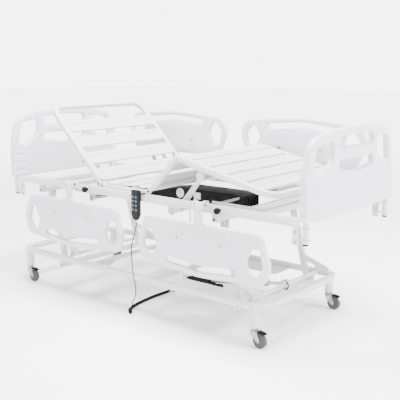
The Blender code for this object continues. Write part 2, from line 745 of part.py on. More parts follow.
def make_board(name, end, plastic):
    middle = end * (HALF_LENGTH - BOARD_THICKNESS / 2)
    board = bowed(sheet(board_loops(), BOARD_THICKNESS, IN_YZ, (middle, 0, 0)), end)
    cuts = []
    for side in (-1, 1):
        x, y = end * post_place_x(), side * POST_SPACING / 2
        cuts.append(rod((x, y, BOARD_BOTTOM - 0.02), (x, y, POST_TOP + GAP), POST_RADIUS + GAP, 20))
    return finish(weld([board], cuts), name, plastic)


def make_posts(board_name, end, paint_white):
    for side, label in ((-1, "right"), (1, "left")):
        x, y = end * post_place_x(), side * POST_SPACING / 2
        post = rod((x, y, POST_BOTTOM), (x, y, POST_TOP), POST_RADIUS, 20)
        finish(post, f"{board_name}_post_{label}", paint_white)


# Deck sections, drawn flat from their hinge at x = 0 towards +X, then turned into place


def section_loops(length, round_end, end_gap):
    half = DECK_WIDTH / 2
    loops = []
    for inset in (0.0, DECK_TUBE_WIDTH):
        near, far = SECTION_END_GAP + inset, length - end_gap - inset
        y = half - inset
        far_radius = max(SECTION_CORNER - inset, 0.01) if round_end else 0.002
        corners = [(near, -y, 0.002), (far, -y, far_radius), (far, y, far_radius), (near, y, 0.002)]
        loops.append(rounded(corners, 0.002, 5 if round_end else 1))
    return loops


def section_slats(places, width):
    inner = DECK_WIDTH / 2 - DECK_TUBE_WIDTH + 0.002
    top = DECK_TUBE_HEIGHT / 2
    return [box((s - width / 2, -inner, top - SLAT_THICKNESS), (s + width / 2, inner, top - 0.0005)) for s in places]


def hinge_eyes():
    """The eyes at x = 0 that turn on the pins, and their bores."""
    outer = DECK_WIDTH / 2 - 0.001
    pieces, cuts = [], []
    for side in (-1, 1):
        low_y, high_y = sorted((side * outer, side * (outer - 0.012)))
        pieces.append(box((0, low_y, -0.011), (SECTION_END_GAP + 0.004, high_y, 0.011)))
        pieces.append(cross_rod(0, 0, low_y, high_y, HINGE_EYE_RADIUS, 16))
        cuts.append(cross_rod(0, 0, low_y - 0.01, high_y + 0.01, HINGE_PIN_RADIUS + 0.0005, 12))
    return pieces, cuts


def knee_plates(length):
    """Plates on the thigh section's far end with the pins that the leg section turns on."""
    inner = DECK_WIDTH / 2 - 0.001
    pieces = []
    for side in (-1, 1):
        low_y, high_y = sorted((side * (inner + 0.0005), side * (inner + 0.006)))
        pieces.append(box((length - 0.060, low_y, -0.0125), (length, high_y, 0.0125)))
        pieces.append(cross_rod(length, 0, low_y, high_y, 0.0125, 16))
        pieces.append(cross_rod(length, 0, side * (inner - 0.012), side * (inner + 0.003), HINGE_PIN_RADIUS, 12))
    return pieces


def roller_tracks(start, end, spacing):
    """Rails below the slats that the lever rollers push on."""
    top = DECK_TUBE_HEIGHT / 2 - SLAT_THICKNESS + 0.002
    low = -DECK_TUBE_HEIGHT / 2 - TRACK_DEPTH
    pieces = []
    for side in (-1, 1):
        y = side * spacing / 2
        pieces.append(box((start, y - 0.0095, low), (end, y + 0.0095, top)))
    return pieces


def cam_outline():
    """Underside on which the backrest's rollers run, from the path of their centres through the whole travel."""
    centres = []
    for step in range(14):
        angle = BACK_TOP_ANGLE * step / 13
        lever = math.radians(BACK_LEVER_ANGLE + BACK_LEVER_RATIO * (angle - BACK_ANGLE))
        run = BACK_HINGE_X - BACK_SHAFT_X + BACK_LEVER_LENGTH * math.cos(lever)
        rise = SHAFT_Z - DECK_Z + BACK_LEVER_LENGTH * math.sin(lever)
        centre = Vector((run, rise))
        centre.rotate(Matrix.Rotation(-math.radians(angle), 2))
        centres.append(centre)
    path = []
    for before, here, after in zip(centres[:1] + centres, centres, centres[1:] + centres[-1:]):
        along = (after - before).normalized()
        path.append(here + Vector((along.y, -along.x)) * (BACK_ROLLER_RADIUS + 2 * GAP))
    if path[0].y < centres[0].y:
        path = [2 * centre - point for centre, point in zip(centres, path)]
    return path


def cam_tracks():
    """Plates below the backrest with that underside, one above each roller."""
    path = cam_outline()
    top = DECK_TUBE_HEIGHT / 2 - SLAT_THICKNESS + 0.002
    far = path[0] + (path[0] - path[1]).normalized() * 0.020
    near = path[-1] + (path[-1] - path[-2]).normalized() * 0.012
    outline = [far, *path, near, (near.x, top), (far.x, top)]
    pieces = []
    for side in (-1, 1):
        pieces.append(sheet([outline], 0.019, IN_XZ, (0, side * BACK_LEVER_SPACING / 2, 0)))
    return pieces


def section_place(x, z, angle, facing):
    turn = Matrix.Rotation(math.radians(angle if facing < 0 else -angle), 4, "Y")
    flip = Matrix.Diagonal((facing, 1, 1, 1))
    return Matrix.Translation((x, 0, z)) @ turn @ flip


def settle(piece, place):
    """Moves a flat-drawn section to its place; a mirrored one has its faces turned back."""
    piece.data.transform(place)
    if place.determinant() < 0:
        piece.data.flip_normals()
    return piece


def make_backrest(paint_white):
    eyes, bores = hinge_eyes()
    pieces = [sheet(section_loops(BACK_LENGTH, True, 0.0), DECK_TUBE_HEIGHT)]
    pieces += section_slats(BACK_SLATS, BACK_SLAT_WIDTH) + eyes
    pieces += cam_tracks()
    piece = settle(weld(pieces, bores), section_place(BACK_HINGE_X, DECK_Z, BACK_ANGLE, -1))
    return finish(piece, "backrest", paint_white, (BACK_HINGE_X, 0, DECK_Z))


def make_thigh(paint_white):
    eyes, bores = hinge_eyes()
    pieces = [sheet(section_loops(THIGH_LENGTH, False, SECTION_END_GAP), DECK_TUBE_HEIGHT)]
    pieces += section_slats(THIGH_SLATS, THIGH_SLAT_WIDTH) + eyes + knee_plates(THIGH_LENGTH)
    piece = settle(weld(pieces, bores), section_place(THIGH_HINGE_X, DECK_Z, THIGH_ANGLE, 1))
    return finish(piece, "thigh_section", paint_white, (THIGH_HINGE_X, 0, DECK_Z))


def knee_place():
    slope = math.radians(THIGH_ANGLE)
    return THIGH_HINGE_X + THIGH_LENGTH * math.cos(slope), DECK_Z + THIGH_LENGTH * math.sin(slope)


def make_leg_section(paint_white):
    eyes, bores = hinge_eyes()
    x, z = knee_place()
    pieces = [sheet(section_loops(LEG_LENGTH, True, 0.0), DECK_TUBE_HEIGHT)]
    pieces += section_slats((0.060,), 0.055) + section_slats(LEG_SLATS, LEG_SLAT_WIDTH) + eyes
    pieces += roller_tracks(0.060, LEG_SLATS[0] + 0.045, LEG_LEVER_SPACING)
    piece = settle(weld(pieces, bores), section_place(x, z, LEG_ANGLE, 1))
    return finish(piece, "leg_section", paint_white, (x, 0, z))


def make_seat(paint_white):
    """Fixed section: three slats on two strips that rest on the side rails."""
    start, end = BACK_HINGE_X + 0.030, THIGH_HINGE_X - 0.030
    pieces = []
    for side in (-1, 1):
        low_y, high_y = sorted((side * 0.355, side * 0.399))
        pieces.append(box((start, low_y, RAIL_TOP + GAP), (end, high_y, DECK_Z + 0.002)))
    pitch = (end - start - SEAT_SLAT_WIDTH) / 2
    for index in range(3):
        x = start + index * pitch
        pieces.append(box((x, -0.3985, DECK_Z), (x + SEAT_SLAT_WIDTH, 0.3985, DECK_Z + SLAT_THICKNESS)))
    return finish(weld(pieces), "seat_section", paint_white)


# Drive shafts, levers, rollers and the dual drive


def lever_tip(x, angle, length, facing):
    slope = math.radians(angle)
    return x + facing * length * math.cos(slope), SHAFT_Z + length * math.sin(slope)


def make_lift_shaft(name, x, tip, spacing, roller_radius, steel):
    """Torsion tube with one tapered lever near each end and a pin for its roller."""
    half_span = RAIL_SPACING / 2 - 0.001
    pieces = [cross_rod(x, SHAFT_Z, -half_span, half_span, SHAFT_RADIUS, 20)]
    along = Vector((tip[0] - x, tip[1] - SHAFT_Z)).normalized()
    across = Vector((-along.y, along.x))
    foot, head = Vector((x, SHAFT_Z)), Vector(tip)
    outline = [foot - across * 0.022, head - across * 0.011, head + along * 0.011, head + across * 0.011, foot + across * 0.022]
    if (outline[1] - outline[0]).cross(outline[2] - outline[1]) < 0:
        outline.reverse()
    for side in (-1, 1):
        inner = side * (spacing / 2 - 0.010)
        outer = inner - side * LEVER_THICKNESS
        pieces.append(sheet([outline], LEVER_THICKNESS, IN_XZ, (0, (inner + outer) / 2, 0)))
        pieces.append(cross_rod(*tip, outer + side * 0.002, side * (spacing / 2 + 0.010), 0.005, 12))
    return finish(weld(pieces), name, steel, (x, 0, SHAFT_Z))


def make_rollers(name, tip, spacing, radius, plastic):
    for side, label in ((-1, "right"), (1, "left")):
        bore, half = 0.0055, 0.009
        profile = [
            (radius - 0.002, half),
            (radius, half - 0.002),
            (radius, 0.002 - half),
            (radius - 0.002, -half),
            (bore, -half),
            (bore, half),
        ]
        y = side * (spacing / 2 + 0.0005)
        place = Matrix.Translation((tip[0], y, tip[1])) @ ALONG_Y
        roller = turned(profile, place, 20, closed=True)
        finish(roller, f"{name}_{label}", plastic, (tip[0], y, tip[1]))


def make_dual_drive(plastic):
    """Housing of both section drives: bored for the two shafts, and for the rod that its foot end hangs on."""
    nose, tail = BACK_SHAFT_X, DRIVE_ROD_X
    outline = [
        (nose - 0.034, SHAFT_Z - 0.034),
        (LEG_SHAFT_X - 0.10, SHAFT_Z - 0.040),
        (tail + 0.028, SHAFT_Z - 0.032),
        (tail + 0.028, DRIVE_ROD_Z + 0.010),
        (tail - 0.060, DRIVE_ROD_Z + 0.020),
        (LEG_SHAFT_X - 0.190, DRIVE_ROD_Z + 0.018),
        (nose + 0.060, SHAFT_Z + 0.006),
        (nose + 0.026, SHAFT_Z + 0.024),
        (nose - 0.026, SHAFT_Z + 0.024),
        (nose - 0.034, SHAFT_Z + 0.014),
    ]
    half = DRIVE_WIDTH / 2
    cuts = []
    for x in (BACK_SHAFT_X, LEG_SHAFT_X):
        cuts.append(cross_rod(x, SHAFT_Z, -half - 0.01, half + 0.01, SHAFT_RADIUS + 0.0006, 20))
    cuts.append(cross_rod(DRIVE_ROD_X, DRIVE_ROD_Z, -half - 0.01, half + 0.01, DRIVE_ROD_RADIUS + GAP, 16))
    pieces = [sheet([outline], DRIVE_WIDTH, IN_XZ)] + drive_ribs()
    return finish(weld(pieces, cuts), "dual_drive", plastic)


def drive_ribs():
    """Upright ribs on the housing's foot end."""
    x = DRIVE_ROD_X + 0.028
    reach = DRIVE_WIDTH / 2 - 0.020
    pieces = []
    for index in range(5):
        y = -reach + index * reach / 2
        pieces.append(box((x - 0.002, y - 0.003, SHAFT_Z - 0.026), (x + 0.010, y + 0.003, DRIVE_ROD_Z + 0.004)))
    return pieces


def make_drive_rod(steel):
    half = DRIVE_BAR_Y + 0.010
    piece = cross_rod(DRIVE_ROD_X, DRIVE_ROD_Z, -half, half, DRIVE_ROD_RADIUS, 16)
    return finish(piece, "drive_hanger_rod", steel)


# Side rails: drawn raised on the left side, about their own hinge at the origin


def panel_loops():
    """Rim, long slot and two hand holes of a side rail panel, in (along, up) from its hinge."""
    half = PANEL_LENGTH / 2
    low, high = PANEL_NEAR_EDGE, PANEL_FAR_EDGE
    rim = [
        (-half + 0.060, low, 0.05),
        (half - 0.060, low, 0.05),
        (half, low + 0.155, 0.10),
        (half - 0.030, high - 0.025, 0.07),
        (0.0, high + 0.008, 0.9),
        (-half + 0.030, high - 0.025, 0.07),
        (-half, low + 0.155, 0.10),
    ]
    slot = [(-0.235, high - 0.077), (0.0, high - 0.055, 0.6), (0.235, high - 0.077), (0.235, high - 0.044), (0.0, high - 0.022, 0.6)]
    slot.append((-0.235, high - 0.044))
    loops = [rounded(rim, 0.05, 4), rounded(slot, 0.012, 2)]
    for side in (-1, 1):
        hold = [(0.330, low + 0.078), (0.376, low + 0.080), (0.396, low + 0.165), (0.358, low + 0.222), (0.318, low + 0.214), (0.292, low + 0.150)]
        loops.append(rounded([(side * u, v) for u, v in hold], 0.014, 2))
    return loops


def arm_outline():
    """Bracket of a side rail: strap from the hinge, cross bar, and two legs with bolt holes."""
    strap, half = RAIL_STRAP_WIDTH / 2, RAIL_PLATE_WIDTH / 2
    low, bar, tip = PANEL_NEAR_EDGE + 0.015, PANEL_NEAR_EDGE + 0.055, PANEL_NEAR_EDGE + 0.110
    right = [(strap, 0.022), (strap, low), (half, low + 0.003), (half, tip), (half - 0.060, tip), (half - 0.060, bar)]
    left = [(-u, v) for u, v in reversed(right)]
    return rounded(right + left, 0.006, 2)


def make_side_rail(label, x, side, raised, materials):
    plastic, metal, black = materials
    hinge = Vector((x, side * RAIL_HINGE_Y, RAIL_HINGE_Z))
    turn = Matrix.Rotation(0.0 if raised else math.pi, 4, "X")
    mirror = Matrix.Diagonal((1, side, 1, 1))
    place = Matrix.Translation(hinge) @ mirror @ turn
    panel = sheet(panel_loops(), PANEL_THICKNESS, IN_XZ)
    finish(settle(panel, place), f"rail_panel_{label}", plastic, hinge)
    plate_y = -PANEL_THICKNESS / 2 - GAP - RAIL_PLATE_THICKNESS / 2
    pieces = [sheet([arm_outline()], RAIL_PLATE_THICKNESS, IN_XZ, (0, plate_y, 0))]
    half = BARREL_LENGTH / 2
    pieces.append(rod((-half, 0, 0), (half, 0, 0), BARREL_RADIUS, 16))
    pieces.append(box((-half + 0.002, plate_y - 0.001, 0.002), (half - 0.002, plate_y + 0.010, 0.031)))
    cuts = [rod((-half - 0.01, 0, 0), (half + 0.01, 0, 0), 0.0055, 12)]
    finish(settle(weld(pieces, cuts), place), f"rail_bracket_{label}", metal, hinge)
    make_rail_knob(label, x, side, black)


def make_rail_knob(label, x, side, black):
    """Sprung release plunger beside the hinge: a mushroom head on a pin that goes through the frame's plate."""
    base = RAIL_OUTER_Y + 0.006
    profile = [
        (0.0, 0.034),
        (KNOB_RADIUS - 0.005, 0.034),
        (KNOB_RADIUS, 0.029),
        (KNOB_RADIUS, 0.018),
        (0.009, 0.014),
        (0.009, GAP),
        (0.005, GAP),
        (0.005, -0.018),
        (0.0, -0.018),
    ]
    turn = Matrix.Rotation(math.radians(-90 * side), 4, "X")
    origin = (x + KNOB_OFFSET, side * base, RAIL_HINGE_Z - 0.030)
    knob = turned(profile, Matrix.Translation(origin) @ turn, 20)
    finish(knob, f"rail_knob_{label}", black, origin)


def make_side_rails(materials):
    for x, place in zip(RAIL_HINGE_X, ("head", "foot")):
        make_side_rail(f"{place}_right", x, -1, False, materials)
        make_side_rail(f"{place}_left", x, 1, True, materials)


# Handset, hook and cord


def handset_back_y():
    return -RAIL_OUTER_Y - 0.008


def button_places():
    for row in range(4):
        for column in (-1, 1):
            yield HANDSET_X + column * 0.0125, HANDSET_BOTTOM + 0.060 + row * 0.024


def handset_hook():
    """Hook on the handset's back that rides over the side rail."""
    x0, x1 = HANDSET_X - 0.018, HANDSET_X + 0.018
    back = handset_back_y() - 0.002
    outer = -RAIL_OUTER_Y
    stem = box((x0, back, RAIL_TOP - 0.060), (x1, outer - 0.002, RAIL_TOP + 0.006))
    lip = box((x0, back, RAIL_TOP + 0.0008), (x1 + 0.030, outer + 0.012, RAIL_TOP + 0.006))
    return [stem, lip]


def make_handset(plastic):
    half = HANDSET_WIDTH / 2
    low, high = HANDSET_BOTTOM, HANDSET_BOTTOM + HANDSET_HEIGHT
    x = HANDSET_X
    corners = [
        (x - half * 0.45, low, 0.008),
        (x + half * 0.45, low, 0.008),
        (x + half, low + 0.030, 0.012),
        (x + half, high, 0.008),
        (x - half, high, 0.008),
        (x - half, low + 0.030, 0.012),
    ]
    middle = handset_back_y() - HANDSET_THICKNESS / 2
    face = handset_back_y() - HANDSET_THICKNESS
    body = sheet([rounded(corners, 0.008, 3)], HANDSET_THICKNESS, IN_XZ, (0, middle, 0))
    cuts = [cross_rod(bx, bz, face - 0.01, face + 0.006, BUTTON_RADIUS + 0.0005, 14) for bx, bz in button_places()]
    return finish(weld([body] + handset_hook(), cuts), "handset", plastic)


def make_buttons(plastic):
    face = handset_back_y() - HANDSET_THICKNESS
    for index, (x, z) in enumerate(button_places(), 1):
        button = cross_rod(x, z, face - 0.002, face + 0.003, BUTTON_RADIUS, 12)
        finish(button, f"handset_button_{index}", plastic, (x, face, z))


def cord_routes():
    """Knots of the hanging run, the curly run on the floor, and the run that climbs to the dual drive."""
    y = handset_back_y() - HANDSET_THICKNESS / 2
    floor = CURL_DIAMETER / 2 + 0.001
    hanging = [
        (HANDSET_X, y, HANDSET_BOTTOM - 0.001),
        (HANDSET_X, y - 0.001, HANDSET_BOTTOM - 0.030),
        (-0.004, y - 0.004, 0.480),
        (-0.024, y - 0.006, 0.410),
        (-0.022, y - 0.008, 0.320),
        (-0.012, y - 0.010, 0.250),
        (0.008, y - 0.012, 0.180),
        (0.006, y - 0.012, 0.130),
        (-0.020, y - 0.012, 0.085),
        (-0.036, y - 0.010, 0.045),
        (-0.042, y - 0.006, 0.022),
        (-0.048, y, floor),
        (-0.060, y + 0.012, floor),
    ]
    curly = [
        (-0.048, y, floor),
        (-0.086, -0.410, floor),
        (-0.114, -0.345, floor),
        (-0.134, -0.250, floor),
        (-0.144, -0.130, floor),
        (-0.142, 0.000, floor),
    ]
    rising = [
        (-0.142, -0.010, floor),
        (-0.138, 0.040, floor),
        (-0.118, 0.086, 0.008),
        (-0.080, 0.106, 0.005),
        (-0.040, 0.100, 0.006),
        (-0.026, 0.080, 0.030),
        (-0.016, 0.072, 0.090),
        (-0.014, 0.070, 0.180),
        (-0.015, 0.068, 0.300),
        (-0.015, 0.062, 0.440),
        (-0.015, 0.052, 0.540),
        (-0.015, 0.050, SHAFT_Z - 0.0415),
    ]
    return [[Vector(knot) for knot in knots] for knots in (hanging, curly, rising)]


def make_cord(plastic):
    """One cord in three runs. The curly run is drawn as the plain tube that its coils fill."""
    radii = (CORD_DIAMETER / 2, CURL_DIAMETER / 2, CORD_DIAMETER / 2)
    runs = [wire(smooth_route(knots, 0.030), radius, 1) for radius, knots in zip(radii, cord_routes())]
    finish(weld(runs), "handset_cord", plastic)


def make_bed():
    white = paint("powder_coated_white", (0.86, 0.86, 0.85), 0.35)
    boards = paint("white_moulding", (0.84, 0.84, 0.87), 0.40)
    zinc = paint("zinc_plated_steel", (0.60, 0.60, 0.58), 0.30, 1.0)
    black = paint("black_plastic", (0.02, 0.02, 0.022), 0.45)
    tyre = paint("grey_tyre", (0.12, 0.12, 0.13), 0.70)
    blue = paint("pale_blue_key", (0.45, 0.62, 0.72), 0.50)
    make_base(white)
    make_casters(zinc, tyre, black)
    make_lift_arms("lift_arms_head", LIFT_HEAD_X, white)
    make_lift_arms("lift_arms_foot", LIFT_FOOT_X, white)
    make_lift_motor(black)
    make_lift_tube(zinc)
    make_lift_rod(white)
    make_frame(white)
    for name, end in (("headboard", -1), ("footboard", 1)):
        make_board(name, end, boards)
        make_posts(name, end, white)
    make_backrest(white)
    make_thigh(white)
    make_leg_section(white)
    make_seat(white)
    back_tip = lever_tip(BACK_SHAFT_X, BACK_LEVER_ANGLE, BACK_LEVER_LENGTH, -1)
    leg_tip = lever_tip(LEG_SHAFT_X, LEG_LEVER_ANGLE, LEG_LEVER_LENGTH, 1)
    make_lift_shaft("back_shaft", BACK_SHAFT_X, back_tip, BACK_LEVER_SPACING, BACK_ROLLER_RADIUS, zinc)
    make_lift_shaft("leg_shaft", LEG_SHAFT_X, leg_tip, LEG_LEVER_SPACING, LEG_ROLLER_RADIUS, white)
    make_rollers("back_roller", back_tip, BACK_LEVER_SPACING, BACK_ROLLER_RADIUS, black)
    make_rollers("leg_roller", leg_tip, LEG_LEVER_SPACING, LEG_ROLLER_RADIUS, boards)
    make_dual_drive(black)
    make_drive_rod(zinc)
    make_side_rails((boards, white, black))
    make_handset(black)
    make_buttons(blue)
    make_cord(black)


clear_scene()
PARTS = bpy.data.collections.new("hospital_bed")
bpy.context.scene.collection.children.link(PARTS)
make_bed()
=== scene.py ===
import math

import bmesh
import bpy
from mathutils import Matrix, Vector


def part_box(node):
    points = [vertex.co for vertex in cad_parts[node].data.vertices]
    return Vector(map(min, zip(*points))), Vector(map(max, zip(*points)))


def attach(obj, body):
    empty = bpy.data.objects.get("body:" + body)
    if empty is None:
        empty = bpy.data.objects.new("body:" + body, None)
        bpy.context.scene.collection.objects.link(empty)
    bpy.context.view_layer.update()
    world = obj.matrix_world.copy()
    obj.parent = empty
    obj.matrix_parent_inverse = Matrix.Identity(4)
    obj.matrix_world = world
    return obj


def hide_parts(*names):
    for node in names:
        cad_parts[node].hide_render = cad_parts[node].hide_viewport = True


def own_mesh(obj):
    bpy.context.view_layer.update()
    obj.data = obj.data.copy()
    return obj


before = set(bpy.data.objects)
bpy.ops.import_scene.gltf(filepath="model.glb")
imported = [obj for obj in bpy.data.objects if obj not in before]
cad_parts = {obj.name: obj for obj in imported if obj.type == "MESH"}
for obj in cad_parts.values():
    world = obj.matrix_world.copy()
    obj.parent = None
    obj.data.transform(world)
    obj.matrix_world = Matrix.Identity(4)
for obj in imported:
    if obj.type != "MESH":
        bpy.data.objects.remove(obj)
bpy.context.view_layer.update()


# Camera: set where a standing visitor sees the bed from its foot corner, through a short telephoto lens.
camera = bpy.data.objects.new("camera", bpy.data.cameras.new("camera"))
camera.location = (2.7746, -3.2549, 1.4326)
camera.rotation_euler = (math.radians(79.1736), 0.0, math.radians(39.3075))
camera.data.lens = 64.7
bpy.context.scene.collection.objects.link(camera)
bpy.context.scene.camera = camera


# Handset cord: a PVC-sheathed control cord, wound as a spiral for the run that lies on the floor and plain at
# both ends. It leaves the handset's foot, drops to the floor, crosses under the bed and climbs to the dual drive.
def srgb(code):
    """Linear colour of an sRGB hex code."""
    levels = [int(code[i : i + 2], 16) / 255 for i in (0, 2, 4)]
    return tuple(v / 12.92 if v < 0.04045 else ((v + 0.055) / 1.055) ** 2.4 for v in levels) + (1.0,)


def add(tree, kind, settings=(), links=()):
    """Adds a node; settings go to its properties or input sockets, links are (from socket, input)."""
    node = tree.nodes.new(kind)
    for key, value in dict(settings).items():
        if isinstance(key, int) or key in node.inputs:
            node.inputs[key].default_value = value
        else:
            setattr(node, key, value)
    for source, target in links:
        tree.links.new(source, node.inputs[target])
    return node


def finish_material(name, base, rough, metallic=0.0, ior=1.5, coat=0.0, sheen=0.5):
    """A Principled material with its constants set, ready for its pattern; returns it with its tree and shader."""
    material = bpy.data.materials.new(name)
    material.use_nodes = True
    tree = material.node_tree
    shader = tree.nodes["Principled BSDF"]
    shader.inputs["Base Color"].default_value = srgb(base)
    shader.inputs["Roughness"].default_value = rough
    shader.inputs["Metallic"].default_value = metallic
    shader.inputs["IOR"].default_value = ior
    shader.inputs["Specular IOR Level"].default_value = sheen
    shader.inputs["Coat Weight"].default_value = coat
    material.diffuse_color = srgb(base)
    return material, tree, shader


def grained(name, base, shade, rough, spread, grain_mm, bump_mm, metallic=0.0, ior=1.5, coat=0.0, sheen=0.5):
    """A material whose tone, gloss and surface vary: broad cloudiness, and a grain of the given size."""
    material, tree, shader = finish_material(name, base, rough, metallic, ior, coat, sheen)
    place = add(tree, "ShaderNodeTexCoord")
    cloud = add(tree, "ShaderNodeTexNoise", {"Scale": 7.0, "Detail": 3.0}, [(place.outputs["Object"], "Vector")])
    grain = add(
        tree,
        "ShaderNodeTexNoise",
        {"Scale": 1000.0 / grain_mm, "Detail": 2.0},
        [(place.outputs["Object"], "Vector")],
    )
    tone = add(tree, "ShaderNodeMix", {"data_type": "RGBA"}, [(cloud.outputs["Fac"], 0)])
    tone.inputs[6].default_value = srgb(base)
    tone.inputs[7].default_value = srgb(shade)
    gloss = add(
        tree,
        "ShaderNodeMapRange",
        {"To Min": rough - spread, "To Max": rough + spread},
        [(grain.outputs["Fac"], "Value")],
    )
    bump = add(
        tree,
        "ShaderNodeBump",
        {"Strength": 0.5, "Distance": bump_mm / 1000.0},
        [(grain.outputs["Fac"], "Height")],
    )
    tree.links.new(tone.outputs[2], shader.inputs["Base Color"])
    tree.links.new(gloss.outputs["Result"], shader.inputs["Roughness"])
    tree.links.new(bump.outputs["Normal"], shader.inputs["Normal"])
    return material


# Soft PVC cord sheath: extruded, dull black, with a slight sheen where it bends.
CORD_SHEATH = grained("soft_pvc_sheath", "09090A", "0D0D0E", 0.55, 0.06, 2.0, 0.05, ior=1.4, sheen=0.12)


def smooth_route(knots, spacing):
    """Points about one spacing apart on a Catmull-Rom curve through the knots."""
    ends = [knots[0] * 2 - knots[1]] + knots + [knots[-1] * 2 - knots[-2]]
    route = []
    for before, start, end, after in zip(ends, ends[1:], ends[2:], ends[3:]):
        steps = max(1, round((end - start).length / spacing))
        for step in range(steps):
            t = step / steps
            bend = (2 * before - 5 * start + 4 * end - after) * t * t
            twist = (3 * start - before - 3 * end + after) * t * t * t
            route.append((2 * start + (end - before) * t + bend + twist) / 2)
    route.append(knots[-1])
    return route


def spiral(route, radius, turns, per_turn):
    """The route wound into a helix, entered and left straight down at its side."""
    lengths = [0.0]
    for a, b in zip(route, route[1:]):
        lengths.append(lengths[-1] + (b - a).length)
    wound = []
    count = turns * per_turn
    place = 0
    for step in range(count + 1):
        run = lengths[-1] * step / count
        while place < len(route) - 2 and lengths[place + 1] < run:
            place += 1
        t = (run - lengths[place]) / (lengths[place + 1] - lengths[place])
        centre = route[place].lerp(route[place + 1], t)
        along = (route[place + 1] - route[place]).normalized()
        across = along.cross(Vector((0, 0, 1))).normalized()
        turn = 2 * math.pi * step / per_turn
        ring = across * math.cos(turn) - Vector((0, 0, 1)) * math.sin(turn)
        wound.append(centre + ring * radius)
    return wound


HANDSET_CORD = 0.0055
CURL_OUTER = 0.020
hanging = [
    (0.0095, -0.441, 0.567), (0.0095, -0.442, 0.538), (-0.004, -0.445, 0.480), (-0.024, -0.447, 0.410),
    (-0.022, -0.449, 0.320), (-0.012, -0.451, 0.250), (0.008, -0.453, 0.180), (0.006, -0.453, 0.130),
    (-0.020, -0.450, 0.085), (-0.036, -0.442, 0.045), (-0.0428, -0.4364, 0.022),
]
curly = [
    (-0.048, -0.441, 0.011), (-0.086, -0.410, 0.011), (-0.114, -0.345, 0.011), (-0.134, -0.250, 0.011),
    (-0.144, -0.130, 0.011), (-0.142, 0.000, 0.011),
]
rising = [
    (-0.1345, 0.0035, 0.0050), (-0.1340, 0.014, 0.0034), (-0.132, 0.040, 0.0034), (-0.116, 0.086, 0.0036),
    (-0.080, 0.106, 0.0040), (-0.040, 0.100, 0.008), (-0.026, 0.080, 0.030), (-0.016, 0.072, 0.090),
    (-0.014, 0.070, 0.180), (-0.015, 0.068, 0.300), (-0.015, 0.062, 0.440), (-0.015, 0.052, 0.540),
    (-0.015, 0.050, 0.5985),
]
drop = smooth_route([Vector(p) for p in hanging], 0.02)
CURL_TURNS, POINTS_PER_TURN = 58, 12
coil = (CURL_OUTER - HANDSET_CORD) / 2
winding = spiral(smooth_route([Vector(p) for p in curly], 0.01), coil, CURL_TURNS, POINTS_PER_TURN)
climb = smooth_route([Vector(p) for p in rising], 0.02)
cord_path = drop + winding + climb
cord_curve = bpy.data.curves.new("handset_cord_run", "CURVE")
cord_curve.dimensions = "3D"
cord_curve.bevel_depth = HANDSET_CORD / 2
cord_curve.bevel_resolution = 3
cord_curve.use_fill_caps = True
cord_line = cord_curve.splines.new("POLY")
cord_line.points.add(len(cord_path) - 1)
for knot, place in zip(cord_line.points, cord_path):
    knot.co = (*place, 1.0)
cord_line_object = bpy.data.objects.new("handset_cord_line", cord_curve)
bpy.context.scene.collection.objects.link(cord_line_object)
bpy.context.view_layer.update()
cord = bpy.data.objects.new("handset_cord_run", bpy.data.meshes.new_from_object(cord_line_object))
bpy.data.objects.remove(cord_line_object)
bpy.context.scene.collection.objects.link(cord)
for face in cord.data.polygons:
    face.use_smooth = True
cord.data.materials.clear()
cord.data.materials.append(CORD_SHEATH)
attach(cord, "lift_frame")
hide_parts("handset_cord")
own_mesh(cord)


# Studio: a pale floor that runs out of sight, with broad soft lights above and from both sides.
floor_mesh = bpy.data.meshes.new("floor")
floor_mesh.from_pydata([(-30, -30, 0), (30, -30, 0), (30, 30, 0), (-30, 30, 0)], [], [(0, 1, 2, 3)])
floor = bpy.data.objects.new("floor", floor_mesh)
bpy.context.scene.collection.objects.link(floor)
FLOOR_PAINT = grained("pale_studio_floor", "FCFCFC", "FBFBFB", 0.85, 0.03, 8.0, 0.01)
floor.data.materials.append(FLOOR_PAINT)
# Its far part glows: painted light, an emission that rises with distance and stands in for lamps along the walls,
# so that it runs into them without a line.
paint = FLOOR_PAINT.node_tree
spot = add(paint, "ShaderNodeTexCoord")
away = add(paint, "ShaderNodeVectorMath", {"operation": "LENGTH"}, [(spot.outputs["Object"], "Vector")])
painted_glow = add(
    paint,
    "ShaderNodeMapRange",
    {"From Min": 1.4, "From Max": 8.0, "To Min": 0.0, "To Max": 4.2},
    [(away.outputs["Value"], "Value")],
)
floor_shader = next(node for node in paint.nodes if node.type == "BSDF_PRINCIPLED")
floor_shader.inputs["Emission Color"].default_value = (1.0, 1.0, 1.0, 1.0)
paint.links.new(painted_glow.outputs["Result"], floor_shader.inputs["Emission Strength"])

world = bpy.data.worlds.new("studio")
bpy.context.scene.world = world
world.use_nodes = True
sky = world.node_tree
sky.nodes["Background"].inputs["Color"].default_value = (1.0, 1.0, 1.0, 1.0)
way = add(sky, "ShaderNodeTexCoord")
height = add(sky, "ShaderNodeSeparateXYZ", {}, [(way.outputs["Object"], "Vector")])
# The studio's walls are bright up to about ten degrees, and its ceiling is dim.
wall = add(
    sky,
    "ShaderNodeMapRange",
    {"From Min": 0.12, "From Max": 0.30, "To Min": 6.0, "To Max": 0.9},
    [(height.outputs["Z"], "Value")],
)
sky.links.new(wall.outputs["Result"], sky.nodes["Background"].inputs["Strength"])


def softbox(name, place, aim, size, power):
    light = bpy.data.lights.new(name, "AREA")
    light.shape = "DISK"
    light.size = size
    light.energy = power
    lamp = bpy.data.objects.new(name, light)
    lamp.location = place
    lamp.rotation_euler = (Vector(aim) - Vector(place)).to_track_quat("-Z", "Y").to_euler()
    bpy.context.scene.collection.objects.link(lamp)


